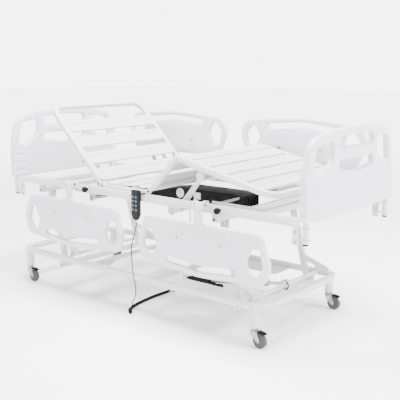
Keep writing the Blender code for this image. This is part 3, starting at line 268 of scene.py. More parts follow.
softbox("overhead_softbox", (0.2, -0.3, 4.2), (0.0, 0.0, 0.0), 2.6, 1050.0)
softbox("front_softbox", (1.5, -4.5, 2.8), (0.0, 0.0, 0.5), 2.5, 130.0)
softbox("foot_softbox", (4.5, 1.0, 2.2), (0.4, 0.0, 0.6), 2.0, 420.0)


# End boards: blow-moulded ABS shells with rolled edges, bowed in plan, with grips and windows through them. Four
# thickened pads wrap each lower corner, and two tapered fins stiffen the lower middle.
# Planes that an outline is drawn in: seen from above, from the side and from an end.
IN_XY = Matrix.Identity(4)
IN_XZ = Matrix(((1, 0, 0, 0), (0, 0, -1, 0), (0, 1, 0, 0), (0, 0, 0, 1)))
IN_YZ = Matrix(((0, 0, 1, 0), (1, 0, 0, 0), (0, 1, 0, 0), (0, 0, 0, 1)))
SIDES = ((-1, "right"), (1, "left"))
BOARD_HALF, BOARD_THICKNESS, BOARD_BOW, BOARD_END = 0.455, 0.036, 0.025, 1.13
BOARD_LOW, BOARD_HIGH = 0.70, 1.13


def rounded(corners, radius, steps=6):
    """The outline through the corners, each turned into an arc. A corner may carry its own radius."""
    points = []
    for index, corner in enumerate(corners):
        here = Vector(corner[:2])
        before = (Vector(corners[index - 1][:2]) - here).normalized()
        after = (Vector(corners[(index + 1) % len(corners)][:2]) - here).normalized()
        bend = radius if len(corner) < 3 else corner[2]
        half = before.angle(after) / 2
        centre = here + (before + after).normalized() * (bend / math.sin(half))
        start = here + before * (bend / math.tan(half)) - centre
        finish = here + after * (bend / math.tan(half)) - centre
        turn = start.angle_signed(finish)
        for step in range(steps + 1):
            arm = start.copy()
            arm.rotate(Matrix.Rotation(-turn * step / steps, 2))
            points.append(centre + arm)
    return points


def rect(x0, y0, x1, y1):
    """The four corners of an upright rectangle, anticlockwise."""
    return [(x0, y0), (x1, y0), (x1, y1), (x0, y1)]


def evaluated(obj):
    """A bmesh of the object with its modifiers or curve settings applied; the object is removed."""
    bpy.context.view_layer.update()
    mesh = bpy.data.meshes.new_from_object(obj.evaluated_get(bpy.context.evaluated_depsgraph_get()))
    bpy.data.objects.remove(obj)
    bm = bmesh.new()
    bm.from_mesh(mesh)
    bpy.data.meshes.remove(mesh)
    bmesh.ops.remove_doubles(bm, verts=bm.verts, dist=0.00001)
    return bm


def slab(loops, thickness, edge, plane, shift=(0, 0, 0), bend=2):
    """A plate cut to its outlines, first the rim and then the openings, with rolled edges."""
    curve = bpy.data.curves.new("outline", "CURVE")
    curve.dimensions = "2D"
    curve.fill_mode = "BOTH"
    curve.bevel_depth = edge
    curve.bevel_resolution = bend
    curve.offset = -edge
    curve.extrude = thickness / 2 - edge
    for index, loop in enumerate(loops):
        area = sum(a[0] * b[1] - b[0] * a[1] for a, b in zip(loop, loop[1:] + loop[:1]))
        way = list(loop if (area > 0) == (index == 0) else loop[::-1])
        apart = max(edge * 0.2, 0.0002)
        way = [p for p, q in zip(way, way[1:] + way[:1]) if math.dist(p[:2], q[:2]) > apart]
        spline = curve.splines.new("POLY")
        spline.points.add(len(way) - 1)
        spline.use_cyclic_u = True
        for point, place in zip(spline.points, way):
            point.co = (place[0], place[1], 0, 1)
    holder = bpy.data.objects.new("outline", curve)
    bpy.context.scene.collection.objects.link(holder)
    bm = evaluated(holder)
    bm.transform(Matrix.Translation(shift) @ plane)
    return bm


def piece(name, parts, material, body, nodes=(), sharp=35.0):
    """Joins the parts into one finished object that rides the body and stands for the nodes."""
    whole = bmesh.new()
    for part in parts:
        mesh = bpy.data.meshes.new("part")
        bmesh.ops.recalc_face_normals(part, faces=part.faces[:])
        part.to_mesh(mesh)
        part.free()
        whole.from_mesh(mesh)
        bpy.data.meshes.remove(mesh)
    mesh = bpy.data.meshes.new(name)
    whole.to_mesh(mesh)
    whole.free()
    mesh.shade_smooth()
    mesh.set_sharp_from_angle(angle=math.radians(sharp))
    mesh.materials.append(material)
    made = bpy.data.objects.new(name, mesh)
    bpy.context.scene.collection.objects.link(made)
    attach(made, body)
    if nodes:
        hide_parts(*nodes)
    return made


def bowed(bm, end):
    """Bends a board in plan, its middle standing furthest from the bed, after cutting it across into strips."""
    strip = 0.036
    for step in range(-12, 13):
        geometry = bm.verts[:] + bm.edges[:] + bm.faces[:]
        bmesh.ops.bisect_plane(
            bm, geom=geometry, plane_co=(0, step * strip, 0), plane_no=(0, 1, 0), dist=0.00001
        )
    for vert in bm.verts:
        vert.co.x -= end * BOARD_BOW * (vert.co.y / BOARD_HALF) ** 2
    return bm


# Moulded ABS: blown and injected panels, cool white, with an even satin spark texture.
MOULDED_ABS = grained("white_moulded_abs", "C9C9D0", "C2C2CA", 0.42, 0.05, 1.6, 0.05)


def board_outlines():
    """Rim, narrower below where the pads go, two grips, and the windows above and below the middle rail."""
    half, low, high = BOARD_HALF, BOARD_LOW, BOARD_HIGH
    inner = half - 0.007
    right = [(inner, low, 0.016), (inner, low + 0.165, 0.2), (half, low + 0.205, 0.08)]
    right.append((half - 0.040, high - 0.045, 0.10))
    arch = [(half * 0.5, high - 0.010, 0.3), (0.0, high, 0.3), (-half * 0.5, high - 0.010, 0.3)]
    left = [(-y, z, r) for y, z, r in reversed(right)]
    loops = [rounded(right + arch + left, 0.02, 8)]
    for side in (-1, 1):
        grip = [(0.228, high - 0.062), (0.228, high - 0.158, 0.05), (0.345, high - 0.232), (0.400, high - 0.212)]
        grip = [(side * p[0], *p[1:]) for p in grip + [(0.374, high - 0.078)]]
        loops.append(rounded(grip, 0.018, 6))
    upper = [(-0.180, high - 0.100), (0.180, high - 0.100), (0.180, high - 0.050, 0.024), (0.0, high - 0.038, 0.5)]
    lower = [(-0.180, high - 0.205, 0.022), (0.0, high - 0.228, 0.25), (0.180, high - 0.205, 0.022)]
    loops.append(rounded(upper + [(-0.180, high - 0.050, 0.024)], 0.018, 6))
    loops.append(rounded(lower + [(0.180, high - 0.160), (-0.180, high - 0.160)], 0.015, 6))
    return loops


for board, end in (("headboard", -1), ("footboard", 1)):
    middle = end * (BOARD_END - BOARD_THICKNESS / 2)
    parts = [bowed(slab(board_outlines(), BOARD_THICKNESS, 0.009, IN_YZ, (middle, 0, 0), 3), end)]
    face = middle + end * (BOARD_THICKNESS / 2 - 0.0025)
    for side in (-1, 1):
        for low, high in ((0.706, 0.738), (0.747, 0.788), (0.797, 0.838), (0.847, 0.872)):
            pad = [(side * 0.335, low), (side * BOARD_HALF, low), (side * BOARD_HALF, high), (side * 0.350, high)]
            pad_thickness = BOARD_THICKNESS + 0.005
            parts.append(bowed(slab([rounded(pad, 0.009, 4)], pad_thickness, 0.008, IN_YZ, (middle, 0, 0)), end))
        fin = [(side * 0.172, 0.706), (side * 0.142, 0.706), (side * 0.152, 0.778), (side * 0.160, 0.778)]
        parts.append(bowed(slab([rounded(fin, 0.003, 3)], 0.008, 0.002, IN_YZ, (face, 0, 0)), end))
    lip = rounded(rect(-0.40, 0.7005, 0.40, 0.712), 0.004, 3)
    parts.append(bowed(slab([lip], 0.005, 0.001, IN_YZ, (face - end * 0.0004, 0, 0)), end))
    piece(board + "_shell", parts, MOULDED_ABS, board, (board,))


# Board posts: powder-coated steel tube with a black push-in foot cap, plugged into the moulding.
def turned(start, end, profile, sides=32):
    """A turned solid between two points: the profile is (distance from start, radius), run out to both ends."""
    start, end = Vector(start), Vector(end)
    turn = (end - start).to_track_quat("Z", "Y").to_matrix().to_4x4()
    bm = bmesh.new()
    rings = []
    angles = [2 * math.pi * i / sides for i in range(sides)]
    for along, radius in profile:
        rings.append([bm.verts.new((radius * math.cos(a), radius * math.sin(a), along)) for a in angles])
    for low, high in zip(rings, rings[1:]):
        for i in range(sides):
            bm.faces.new((low[i], low[(i + 1) % sides], high[(i + 1) % sides], high[i]))
    bm.faces.new(rings[0][::-1])
    bm.faces.new(rings[-1])
    bm.transform(Matrix.Translation(start) @ turn)
    return bm


def rod(start, end, radius, edge=0.001, sides=32):
    """A round bar with broken edges."""
    run = (Vector(end) - Vector(start)).length
    edge = min(edge, radius / 2, run / 3)
    soft = edge * 0.3
    profile = [(0, radius - edge), (soft, radius - soft), (edge, radius), (run - edge, radius)]
    profile += [(run - soft, radius - soft), (run, radius - edge)]
    return turned(start, end, profile, sides)


# Powder-coated steel: white polyester powder baked on tube, glossy with a faint orange-peel skin.
POWDER_COAT = grained("white_powder_coated_steel", "C5C4C3", "BDBCBB", 0.34, 0.05, 3.0, 0.06, coat=0.15)
# Glass-filled nylon: moulded black housings with a fine matt grain.
BLACK_NYLON = grained("black_glass_filled_nylon", "0B0B0C", "101011", 0.55, 0.07, 1.4, 0.08, ior=1.4, sheen=0.12)
# Zinc-plated steel: pressed and plated, bright with a slightly uneven grey bloom.
ZINC_PLATE = grained("zinc_plated_steel", "96989A", "7F8183", 0.28, 0.08, 4.0, 0.03, metallic=1.0)

POST_Y = 0.42
for board, end in (("headboard", -1), ("footboard", 1)):
    x = end * (BOARD_END - BOARD_BOW * (POST_Y / BOARD_HALF) ** 2 - BOARD_THICKNESS / 2)
    for side, label in SIDES:
        y = side * POST_Y
        post = f"{board}_post_{label}"
        parts = [rod((x, y, 0.5985), (x, y, 0.80), 0.0138, 0.0015)]
        parts.append(rod((x, y, 0.694), (x, y, 0.6995), 0.014, 0.001))
        piece(post + "_tube", parts, POWDER_COAT, board, (post,))
        cap = [rod((x, y, 0.5905), (x, y, 0.5988), 0.0139, 0.002), rod((x, y, 0.5985), (x, y, 0.62), 0.011)]
        piece(post + "_cap", cap, BLACK_NYLON, board)


# Side rails: moulded ABS panels with rolled rims, each bolted to a pressed steel bracket whose barrel turns on the
# frame. The left-hand rails stand up and the right-hand ones hang down.
def block(low, high, edge=0.0015):
    """A block between two opposite corners, with broken edges."""
    bm = bmesh.new()
    size = [b - a for a, b in zip(low, high)]
    middle = [(a + b) / 2 for a, b in zip(low, high)]
    bmesh.ops.create_cube(bm, size=1.0, matrix=Matrix.Translation(middle) @ Matrix.Diagonal((*size, 1.0)))
    edge = min(edge, min(size) / 3)
    bmesh.ops.bevel(bm, geom=bm.edges[:], offset=edge, segments=2, profile=0.5, affect="EDGES")
    return bm


def bolt(start, out, size, height, sides=6):
    """A bolt head on a washer, standing out from the start point."""
    start, out = Vector(start), Vector(out).normalized()
    washer = rod(start - out * 0.001, start + out * height * 0.35, size * 0.72, 0.0004, 20)
    head = rod(start, start + out * height, size / 2, 0.0006, sides)
    return [washer, head]


def moved(parts, place):
    """The parts put in place, turned the right way out where the place mirrors them."""
    for part in parts:
        part.transform(place)
        if place.determinant() < 0:
            bmesh.ops.reverse_faces(part, faces=part.faces[:])
    return parts


def rail_outlines():
    """Rim, long slot and two hand holes of a side rail panel, in (along, up) from its hinge."""
    half, low, high = 0.44, 0.10, 0.38
    rim = [(-half + 0.060, low, 0.05), (half - 0.060, low, 0.05), (half, low + 0.155, 0.10)]
    rim += [(half - 0.030, high - 0.025, 0.07), (0.0, high + 0.008, 0.9), (-half + 0.030, high - 0.025, 0.07)]
    rim.append((-half, low + 0.155, 0.10))
    slot = [(-0.235, high - 0.077), (0.0, high - 0.055, 0.6), (0.235, high - 0.077), (0.235, high - 0.044)]
    slot += [(0.0, high - 0.022, 0.6), (-0.235, high - 0.044)]
    loops = [rounded(rim, 0.05, 8), rounded(slot, 0.014, 5)]
    for side in (-1, 1):
        hold = [(0.330, low + 0.078), (0.376, low + 0.080), (0.396, low + 0.165)]
        hold += [(0.358, low + 0.222), (0.318, low + 0.214), (0.292, low + 0.150)]
        loops.append(rounded([(side * u, v) for u, v in hold], 0.014, 5))
    return loops


def bracket_outline():
    """The U-shaped plate on the panel's face, with its neck towards the hinge."""
    right = [(0.030, 0.022), (0.030, 0.115), (0.174, 0.118), (0.174, 0.210), (0.114, 0.210), (0.114, 0.155)]
    return rounded(right + [(-u, v) for u, v in reversed(right)], 0.007, 4)


RAIL_CENTRES = ((-0.49, "head"), (0.5025, "foot"))
RAIL_HINGE_Y, RAIL_HINGE_Z = 0.480, 0.725
for x, end in RAIL_CENTRES:
    for side, label, raised in ((-1, "right", False), (1, "left", True)):
        rail = f"{end}_{label}"
        turn = Matrix.Rotation(0.0 if raised else math.pi, 4, "X")
        hinge = Matrix.Translation((x, side * RAIL_HINGE_Y, RAIL_HINGE_Z))
        place = hinge @ Matrix.Diagonal((1, side, 1, 1)) @ turn
        body = "side_rail_" + rail
        shell = moved([slab(rail_outlines(), 0.028, 0.009, IN_XZ, bend=3)], place)
        piece(f"rail_shell_{rail}", shell, MOULDED_ABS, body, ("rail_panel_" + rail,))
        plate = [slab([bracket_outline()], 0.0022, 0.0006, IN_XZ, (0, -0.0154, 0))]
        tube = [(0.0, 0.0105), (0.001, 0.0122), (0.049, 0.0122), (0.050, 0.0105)]
        plate.append(turned((-0.025, 0, 0), (0.025, 0, 0), tube))
        plate.append(block((-0.022, -0.0173, 0.002), (0.022, -0.0065, 0.030), 0.003))
        plate.append(block((-0.012, -0.0178, 0.016), (0.012, -0.0150, 0.112), 0.001))
        steel = []
        for u in (-0.144, 0.144):
            steel += bolt((u, -0.0163, 0.192), (0, -1, 0), 0.011, 0.0018)
        moved(plate, place)
        piece(f"rail_plate_{rail}", plate, POWDER_COAT, body, ("rail_bracket_" + rail,))
        piece(f"rail_bolts_{rail}", moved(steel, place), ZINC_PLATE, body)


# Deck: four sections of welded tube frames with pressed channel slats laid across them, all powder-coated.
def repeated(bm, count, pitch):
    """The shape repeated along a line by Geometry Nodes: each copy is one pressed or moulded repeat of it."""
    mesh = bpy.data.meshes.new("unit")
    bm.to_mesh(mesh)
    bm.free()
    holder = bpy.data.objects.new("unit", mesh)
    bpy.context.scene.collection.objects.link(holder)
    group = bpy.data.node_groups.new("row_of_repeats", "GeometryNodeTree")
    face = group.interface
    face.new_socket("Geometry", in_out="INPUT", socket_type="NodeSocketGeometry")
    how_many = face.new_socket("Count", in_out="INPUT", socket_type="NodeSocketInt")
    how_far = face.new_socket("Pitch", in_out="INPUT", socket_type="NodeSocketVector")
    coat = face.new_socket("Material", in_out="INPUT", socket_type="NodeSocketMaterial")
    face.new_socket("Geometry", in_out="OUTPUT", socket_type="NodeSocketGeometry")
    given = add(group, "NodeGroupInput")
    count_and_pitch = [(given.outputs["Count"], "Count"), (given.outputs["Pitch"], "Offset")]
    row = add(group, "GeometryNodeMeshLine", {"mode": "OFFSET"}, count_and_pitch)
    copies = [(row.outputs["Mesh"], "Points"), (given.outputs["Geometry"], "Instance")]
    spread = add(group, "GeometryNodeInstanceOnPoints", {}, copies)
    real = add(group, "GeometryNodeRealizeInstances", {}, [(spread.outputs["Instances"], "Geometry")])
    finish = [(real.outputs["Geometry"], "Geometry"), (given.outputs["Material"], "Material")]
    coated = add(group, "GeometryNodeSetMaterial", {}, finish)
    add(group, "NodeGroupOutput", {}, [(coated.outputs["Geometry"], "Geometry")])
    modifier = holder.modifiers.new("repeats", "NODES")
    modifier.node_group = group
    modifier[how_many.identifier] = count
    modifier[how_far.identifier] = pitch
    modifier[coat.identifier] = POWDER_COAT
    return evaluated(holder)


def slat(width, start):
    """A pressed channel slat across the deck, drawn flat: rolled-down edges and two shallow folds."""
    top, low, gauge, half = 0.0155, 0.0045, 0.002, width / 2
    outer = [(-half, low), (-half, top, 0.003), (-half * 0.42, top, 0.004), (-half * 0.34, top - 0.0035, 0.003)]
    outer += [(-a[0], *a[1:]) for a in reversed(outer)]
    inner = [(half - gauge, low), (half - gauge, top - gauge), (half * 0.46, top - gauge)]
    inner.append((half * 0.38, top - 0.0055))
    inner += [(-a, b) for a, b in reversed(inner)]
    profile = rounded(outer + inner, 0.0006, 3)
    return slab([profile], 0.745, 0.0002, IN_XZ, (start, 0, 0), 0)


def tube_ring(length, round_end, end_gap):
    """The closed frame of rectangular tube round a section, drawn flat from its hinge."""
    tube_width = 0.03
    loops = []
    for inset in (0.0, tube_width):
        near, far, y = 0.016 + inset, length - end_gap - inset, 0.40 - inset
        bend = max(0.09 - inset, 0.01) if round_end else 0.006
        corners = [(near, -y, 0.006), (far, -y, bend), (far, y, bend), (near, y, 0.006)]
        loops.append(rounded(corners, 0.006, 10 if round_end else 3))
    return slab(loops, 0.032, 0.007, IN_XY)


def eyes():
    """The hinge eyes and their straps at the near end of a section."""
    parts = []
    for side in (-1, 1):
        low_y, high_y = sorted((side * 0.399, side * 0.387))
        parts.append(block((0.004, low_y, -0.0105), (0.030, high_y, 0.0105), 0.001))
        parts.append(rod((0, low_y, 0), (0, high_y, 0), 0.0125, 0.001))
    return parts


def section_place(x, z, angle, facing):
    """Where a flat-drawn section lies: hinged at x, z, raised by the angle, running to the head or the foot."""
    turn = Matrix.Rotation(math.radians(angle if facing < 0 else -angle), 4, "Y")
    return Matrix.Translation((x, 0, z)) @ turn @ Matrix.Diagonal((facing, 1, 1, 1))


def refined(node, width=0.0015, angle=35.0):
    """A node's own shape with its points merged and its edges broken."""
    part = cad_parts[node]
    mesh = part.data.copy()
    mesh.transform(part.matrix_world)
    bm = bmesh.new()
    bm.from_mesh(mesh)
    bmesh.ops.remove_doubles(bm, verts=bm.verts, dist=0.00002)
    bmesh.ops.dissolve_limit(bm, angle_limit=math.radians(1.0), verts=bm.verts[:], edges=bm.edges[:])
    bm.to_mesh(mesh)
    bm.free()
    holder = bpy.data.objects.new("refined", mesh)
    bpy.context.scene.collection.objects.link(holder)
    worn = holder.modifiers.new("edges", "BEVEL")
    worn.width = width
    worn.segments = 2
    worn.limit_method = "ANGLE"
    worn.angle_limit = math.radians(angle)
    return evaluated(holder)


DECK_Z = 0.732
BACK_HINGE_X = -0.3275
THIGH_X, THIGH_LENGTH, THIGH_ANGLE = 0.0725, 0.28, 46.0
thigh_slope = math.radians(THIGH_ANGLE)
knee_x = THIGH_X + THIGH_LENGTH * math.cos(thigh_slope)
knee_z = DECK_Z + THIGH_LENGTH * math.sin(thigh_slope)
thigh_place = section_place(THIGH_X, DECK_Z, THIGH_ANGLE, 1)
# Name, length, round end, gap at that end, slat width, first slat, slats, their pitch, place.
sections = (
    ("backrest", 0.62, True, 0.0, 0.087, 0.055, 4, 0.127, section_place(BACK_HINGE_X, DECK_Z, 45.0, -1)),
    ("thigh_section", THIGH_LENGTH, False, 0.016, 0.080, 0.085, 2, 0.110, thigh_place),
    ("leg_section", 0.645, True, 0.0, 0.100, 0.150, 4, 0.122, section_place(knee_x, knee_z, -12.8, 1)),
)
for name, length, round_end, gap, width, first, count, pitch, place in sections:
    parts = [tube_ring(length, round_end, gap), repeated(slat(width, first), count, (pitch, 0.0, 0.0))] + eyes()
    if name == "leg_section":
        parts.append(slat(0.055, 0.060))
        for side in (-1, 1):
            parts.append(block((0.060, side * 0.34 - 0.009, -0.0385), (0.195, side * 0.34 + 0.009, -0.0155)))
    if name == "thigh_section":
        for side in (-1, 1):
            low_y, high_y = sorted((side * 0.3996, side * 0.4045))
            parts.append(block((0.222, low_y, -0.012), (0.280, high_y, 0.012), 0.001))
            parts.append(rod((THIGH_LENGTH, low_y, 0), (THIGH_LENGTH, high_y, 0), 0.0122, 0.001))
    if name == "backrest":
        for side in (-1, 1):
            track = [(0.115, -0.0158), (0.235, -0.0158), (0.235, -0.030), (0.120, -0.036)]
            parts.append(slab([rounded(track, 0.003, 3)], 0.016, 0.002, IN_XZ, (0, side * 0.300, 0)))
    piece(name + "_frame", moved(parts, place), POWDER_COAT, name, (name,))

seat = [repeated(slat(0.093, -0.250), 3, (0.1225, 0.0, 0.0))]
for side in (-1, 1):
    low_y, high_y = sorted((side * 0.356, side * 0.3985))
    seat.append(block((-0.2975, low_y, -0.0185), (0.0425, high_y, 0.002), 0.002))
moved(seat, Matrix.Translation((0, 0, DECK_Z - 0.0036)))
piece("seat_slats", seat, POWDER_COAT, "lift_frame", ("seat_section",))


# Base: a rolled rectangular tube ring on four round legs, with pressed cross plates and small pivot lugs.
def lug(x, z, radius, top):
    """A rounded lug that hangs from the top round a pin at x, z."""
    arc = [(x + radius * math.cos(a * math.pi / 12), z - radius * math.sin(a * math.pi / 12)) for a in range(13)]
    return arc + [(x - radius, top), (x + radius, top)]


RING_X, RING_BAR, PLATE_TOP, PIVOT_Z = -0.135, 0.04, 0.199, 0.158
MOTOR_PIN_X, MOTOR_PIN_Z = 0.030, 0.125
LEG_XS, LEG_Y = (-1.0375, 0.7825), 0.382
ring = []
for inset in (0.0, RING_BAR):
    x, y = 0.985 - inset, 0.405 - inset
    ring.append(rounded(rect(RING_X - x, -y, RING_X + x, y), 0.10 - inset, 14))
base = [slab(ring, 0.034, 0.009, IN_XY, (0, 0, 0.212), 3)]
bolts = []
for x in LEG_XS:
    for y in (-LEG_Y, LEG_Y):
        base.append(rod((x, y, 0.104), (x, y, 0.215), 0.0254, 0.002, 40))
        base.append(rod((x, y, 0.1885), (x, y, 0.1965), 0.0254, 0.003, 40))
        bolts.append(rod((x, y, 0.1022), (x, y, 0.108), 0.0238, 0.001, 40))
for x in (-0.7305, 0.6675):
    for side in (-1, 1):
        base.append(slab([lug(x, PIVOT_Z, 0.019, PLATE_TOP)], 0.0055, 0.001, IN_XZ, (0, side * 0.369, 0)))
        base.append(rod((x, side * 0.346, PIVOT_Z), (x, side * 0.369, PIVOT_Z), 0.0078))
        bolts += bolt((x, side * 0.3705, PIVOT_Z), (0, side, 0), 0.013, 0.006)
base.append(block((-0.482, -0.367, 0.1955), (-0.443, 0.367, 0.2145), 0.003))
base.append(block((0.0185, -0.367, 0.1955), (0.0795, 0.367, 0.2065), 0.003))
for side in (-1, 1):
    gusset = [(-0.445, side * 0.15), (-0.334, side * 0.366), (-0.445, side * 0.366)]
    base.append(slab([rounded(gusset, 0.004, 3)], 0.0055, 0.001, IN_XY, (0, 0, 0.198)))
    tray = [(0.143, side * 0.366), (0.519, side * 0.366), (0.519, side * 0.201), (0.181, side * 0.201)]
    base.append(slab([rounded(tray, 0.008, 4)], 0.0038, 0.001, IN_XY, (0, 0, PLATE_TOP)))
    ear = lug(MOTOR_PIN_X, MOTOR_PIN_Z, 0.0155, PLATE_TOP)
    base.append(slab([ear], 0.0055, 0.001, IN_XZ, (0, side * 0.049, 0)))
base.append(rod((MOTOR_PIN_X, -0.050, MOTOR_PIN_Z), (MOTOR_PIN_X, 0.050, MOTOR_PIN_Z), 0.0058))
for x, y in ((-0.394, -0.385), (-1.000, -0.385), (0.280, -0.385), (-0.394, 0.385), (0.280, 0.385)):
    bolts.append(rod((x, y, 0.2262), (x, y, 0.2288), 0.0055, 0.0008, 20))
piece("base_ring", base, POWDER_COAT, "base", ("base_frame",))
piece("base_fixings", bolts, ZINC_PLATE, "base")
plugs = []
for x, y in ((0.406, -0.383), (0.45, 0.383), (-0.931, -0.383)):
    plug = rounded(rect(x - 0.014, y - 0.004, x + 0.014, y + 0.004), 0.0038, 4)
    plugs.append(slab([plug], 0.002, 0.0004, IN_XY, (0, 0, 0.228)))
piece("base_slot_plugs", plugs, BLACK_NYLON, "base")


# Casters: pressed zinc forks under a ball-race head, grey rubber tyres on pale cores, and black brake pedals.
# Thermoplastic rubber tyre: cast grey, dulled where it rolls.
GREY_TYRE = grained("grey_cast_tyre", "38393B", "2E2F31", 0.62, 0.08, 3.0, 0.08)
# Nylon wheel core: moulded pale grey.
PALE_CORE = grained("pale_grey_nylon_core", "8E9092", "85878A", 0.45, 0.05, 1.5, 0.05)
CASTER_TRAIL, AXLE_Z = 0.034, 0.040


def across_axle(half, profile, sides):
    """Something turned about the caster's axle, its width centred on the fork."""
    return turned((CASTER_TRAIL, -half, AXLE_Z), (CASTER_TRAIL, half, AXLE_Z), profile, sides)


for x, end in zip(LEG_XS, ("head", "foot")):
    for side_of_bed, label in SIDES:
        corner = f"{end}_{label}"
        place = Matrix.Translation((x, side_of_bed * LEG_Y, 0))
        fork = [rod((0, 0, 0.0905), (0, 0, 0.0955), 0.0198, 0.001)]
        fork.append(rod((0, 0, 0.0965), (0, 0, 0.1012), 0.0185, 0.0015))
        fork.append(rod((0, 0, 0.084), (0, 0, 0.1015), 0.012))
        crown = rounded(rect(-0.0195, -0.0175, 0.0215, 0.0175), 0.006, 5)
        fork.append(slab([crown], 0.005, 0.0012, IN_XY, (0, 0, 0.0875)))
        cheek = [(-0.0195, 0.089), (0.0215, 0.089), (0.0455, AXLE_Z, 0.012), (0.036, 0.0285)]
        cheek += [(0.0245, 0.032, 0.006), (-0.010, 0.066, 0.02)]
        angles = [a * math.pi / 8 for a in range(16)]
        hole = [(0.004 + 0.005 * math.cos(a), 0.072 + 0.005 * math.sin(a)) for a in angles]
        for side in (-1, 1):
            fork.append(slab([rounded(cheek, 0.003, 4), hole], 0.0028, 0.0008, IN_XZ, (0, side * 0.0165, 0)))
            fork += bolt((CASTER_TRAIL, side * 0.0178, AXLE_Z), (0, side, 0), 0.010, 0.0032)
        fork.append(rod((CASTER_TRAIL, -0.0172, AXLE_Z), (CASTER_TRAIL, 0.0172, AXLE_Z), 0.0038))
        moved(fork, place)
        piece("fork_" + corner, fork, ZINC_PLATE, "caster_" + corner, ("caster_fork_" + corner,))
        tread = [(0.0, 0.0275), (0.0, 0.0345), (0.0015, 0.0375), (0.004, 0.0392), (0.007, 0.0399)]
        tread += [(0.0105, 0.0400), (0.0115, 0.0394), (0.0125, 0.0394), (0.0135, 0.0400), (0.017, 0.0399)]
        tread += [(0.020, 0.0392), (0.0225, 0.0375), (0.024, 0.0345), (0.024, 0.0275)]
        tyre = moved([across_axle(0.012, tread, 64)], place)
        piece("tyre_" + corner, tyre, GREY_TYRE, "wheel_" + corner, ("caster_wheel_" + corner,))
        web = [(0.0, 0.009), (0.0006, 0.011), (0.003, 0.012), (0.004, 0.024), (0.0008, 0.0265), (0.0008, 0.0285)]
        web += [(0.0238 - a, r) for a, r in reversed(web)]
        core = moved([across_axle(0.0119, web, 40)], place)
        piece("core_" + corner, core, PALE_CORE, "wheel_" + corner)
        tread = [(0.0262, 0.0902), (0.052, 0.0892, 0.01), (0.0718, 0.0818), (0.0708, 0.0784)]
        tread += [(0.052, 0.0848, 0.01), (0.0266, 0.0858)]
        pedal = [slab([rounded(tread, 0.0015, 4)], 0.0296, 0.0012, IN_XZ)]
        for side in (-1, 1):
            pedal.append(rod((0.030, side * 0.0112, 0.0885), (0.030, side * 0.0188, 0.0885), 0.0038))
        for step in range(4):
            a, drop = 0.0555 + step * 0.004, step * 0.0014
            pedal.append(block((a, -0.013, 0.0845 - drop), (a + 0.0016, 0.013, 0.0885 - drop), 0.0004))
        moved(pedal, place)
        piece(
            "pedal_" + corner, pedal, BLACK_NYLON, "brake_" + corner, ("caster_pedal_" + corner,)
        )


# Lifting linkage: welded flat-bar arms on round shafts, powder-coated, moved by a linear actuator with a black
# gearbox, a plated tube and a white end eye.
for end in ("head", "foot"):
    arms = "lift_arms_" + end
    piece("lift_arm_set_" + end, [refined(arms, 0.0015)], POWDER_COAT, arms, (arms,))
LEVER_BAR_X, LEVER_BAR_Z = 0.7225, 0.226
run, rise = LEVER_BAR_X - MOTOR_PIN_X, LEVER_BAR_Z - MOTOR_PIN_Z
pin = Matrix.Translation((MOTOR_PIN_X, 0, MOTOR_PIN_Z))
along = pin @ Matrix.Rotation(-math.atan2(rise, run), 4, "Y")
reach = math.hypot(run, rise)
gearbox = [refined("lift_motor", 0.0025)]
for step in range(4):
    a = 0.060 + step * 0.028
    ridge = block((a, -0.0358, 0.0255), (a + 0.014, 0.0358, 0.0278), 0.001)
    gearbox += moved([ridge], along)
piece("lift_gearbox", gearbox, BLACK_NYLON, "lift_motor", ("lift_motor",))
bore = [(0.0, 0.0108), (0.0, 0.0192), (0.001, 0.0199), (0.006, 0.0199), (0.0065, 0.0190)]
tube = bore[1:] + [(reach - 0.236 - a, r) for a, r in reversed(bore[1:])]
shell = [turned((0.121, 0, 0.004), (reach - 0.115, 0, 0.004), tube, 40)]
piece("lift_tube_shell", moved(shell, along), ZINC_PLATE, "lift_motor", ("lift_tube",))
piece("lift_rod_eye", [refined("lift_rod", 0.0015)], POWDER_COAT, "lift_rod", ("lift_rod",))
# A crescent round the eye's far half: its outer arc one way, its inner arc back.
crescent = [
    (reach + radius * math.cos(a * math.pi / 16), radius * math.sin(a * math.pi / 16))
    for radius, way in ((0.0296, 1), (0.0222, -1))
    for a in range(-8 * way, 9 * way, way)
]
cap = [slab([crescent], 0.0268, 0.0006, IN_XZ)]
piece("lift_eye_cover", moved(cap, along), BLACK_NYLON, "lift_rod")


# Lifted frame: two rectangular side tubes, cross tubes, hang posts, hinge clevises and end plates, welded and
# powder-coated, with plated bolts and black screws.
weldment = [refined("lift_frame", 0.0014)]
piece("lift_frame_weldment", weldment, POWDER_COAT, "lift_frame", ("lift_frame",))
BACK_SHAFT_X, LEG_SHAFT_X, SHAFT_Z = -0.3995, 0.2335, 0.640
steel, black = [], []
for side in (-1, 1):
    for x in (-1.035, 1.035):
        for z in (0.600, 0.650):
            steel += bolt((x, side * 0.4238, z), (0, side, 0), 0.010, 0.0035)
    for x in (BACK_SHAFT_X, LEG_SHAFT_X):
        steel += bolt((x, side * 0.3955, SHAFT_Z), (0, side, 0), 0.014, 0.005)
    for x in (-0.8505, 0.5475):
        black.append(rod((x, side * 0.4196, 0.640), (x, side * 0.4232, 0.640), 0.006, 0.001, 20))
    for x in (-0.62, 0.30, 0.72):
        black.append(rod((x, side * 0.405, 0.6695), (x, side * 0.405, 0.6735), 0.006, 0.001, 20))
    for x in (BACK_HINGE_X, THIGH_X):
        black.append(rod((x, side * 0.4062, DECK_Z), (x, side * 0.4098, DECK_Z), 0.0068, 0.001, 20))
    for x, end in RAIL_CENTRES:
        for edge in (-1, 1):
            start = (x + edge * 0.034, side * RAIL_HINGE_Y, RAIL_HINGE_Z)
            steel += bolt(start, (edge, 0, 0), 0.013, 0.004)
piece("lift_frame_bolts", steel, ZINC_PLATE, "lift_frame")
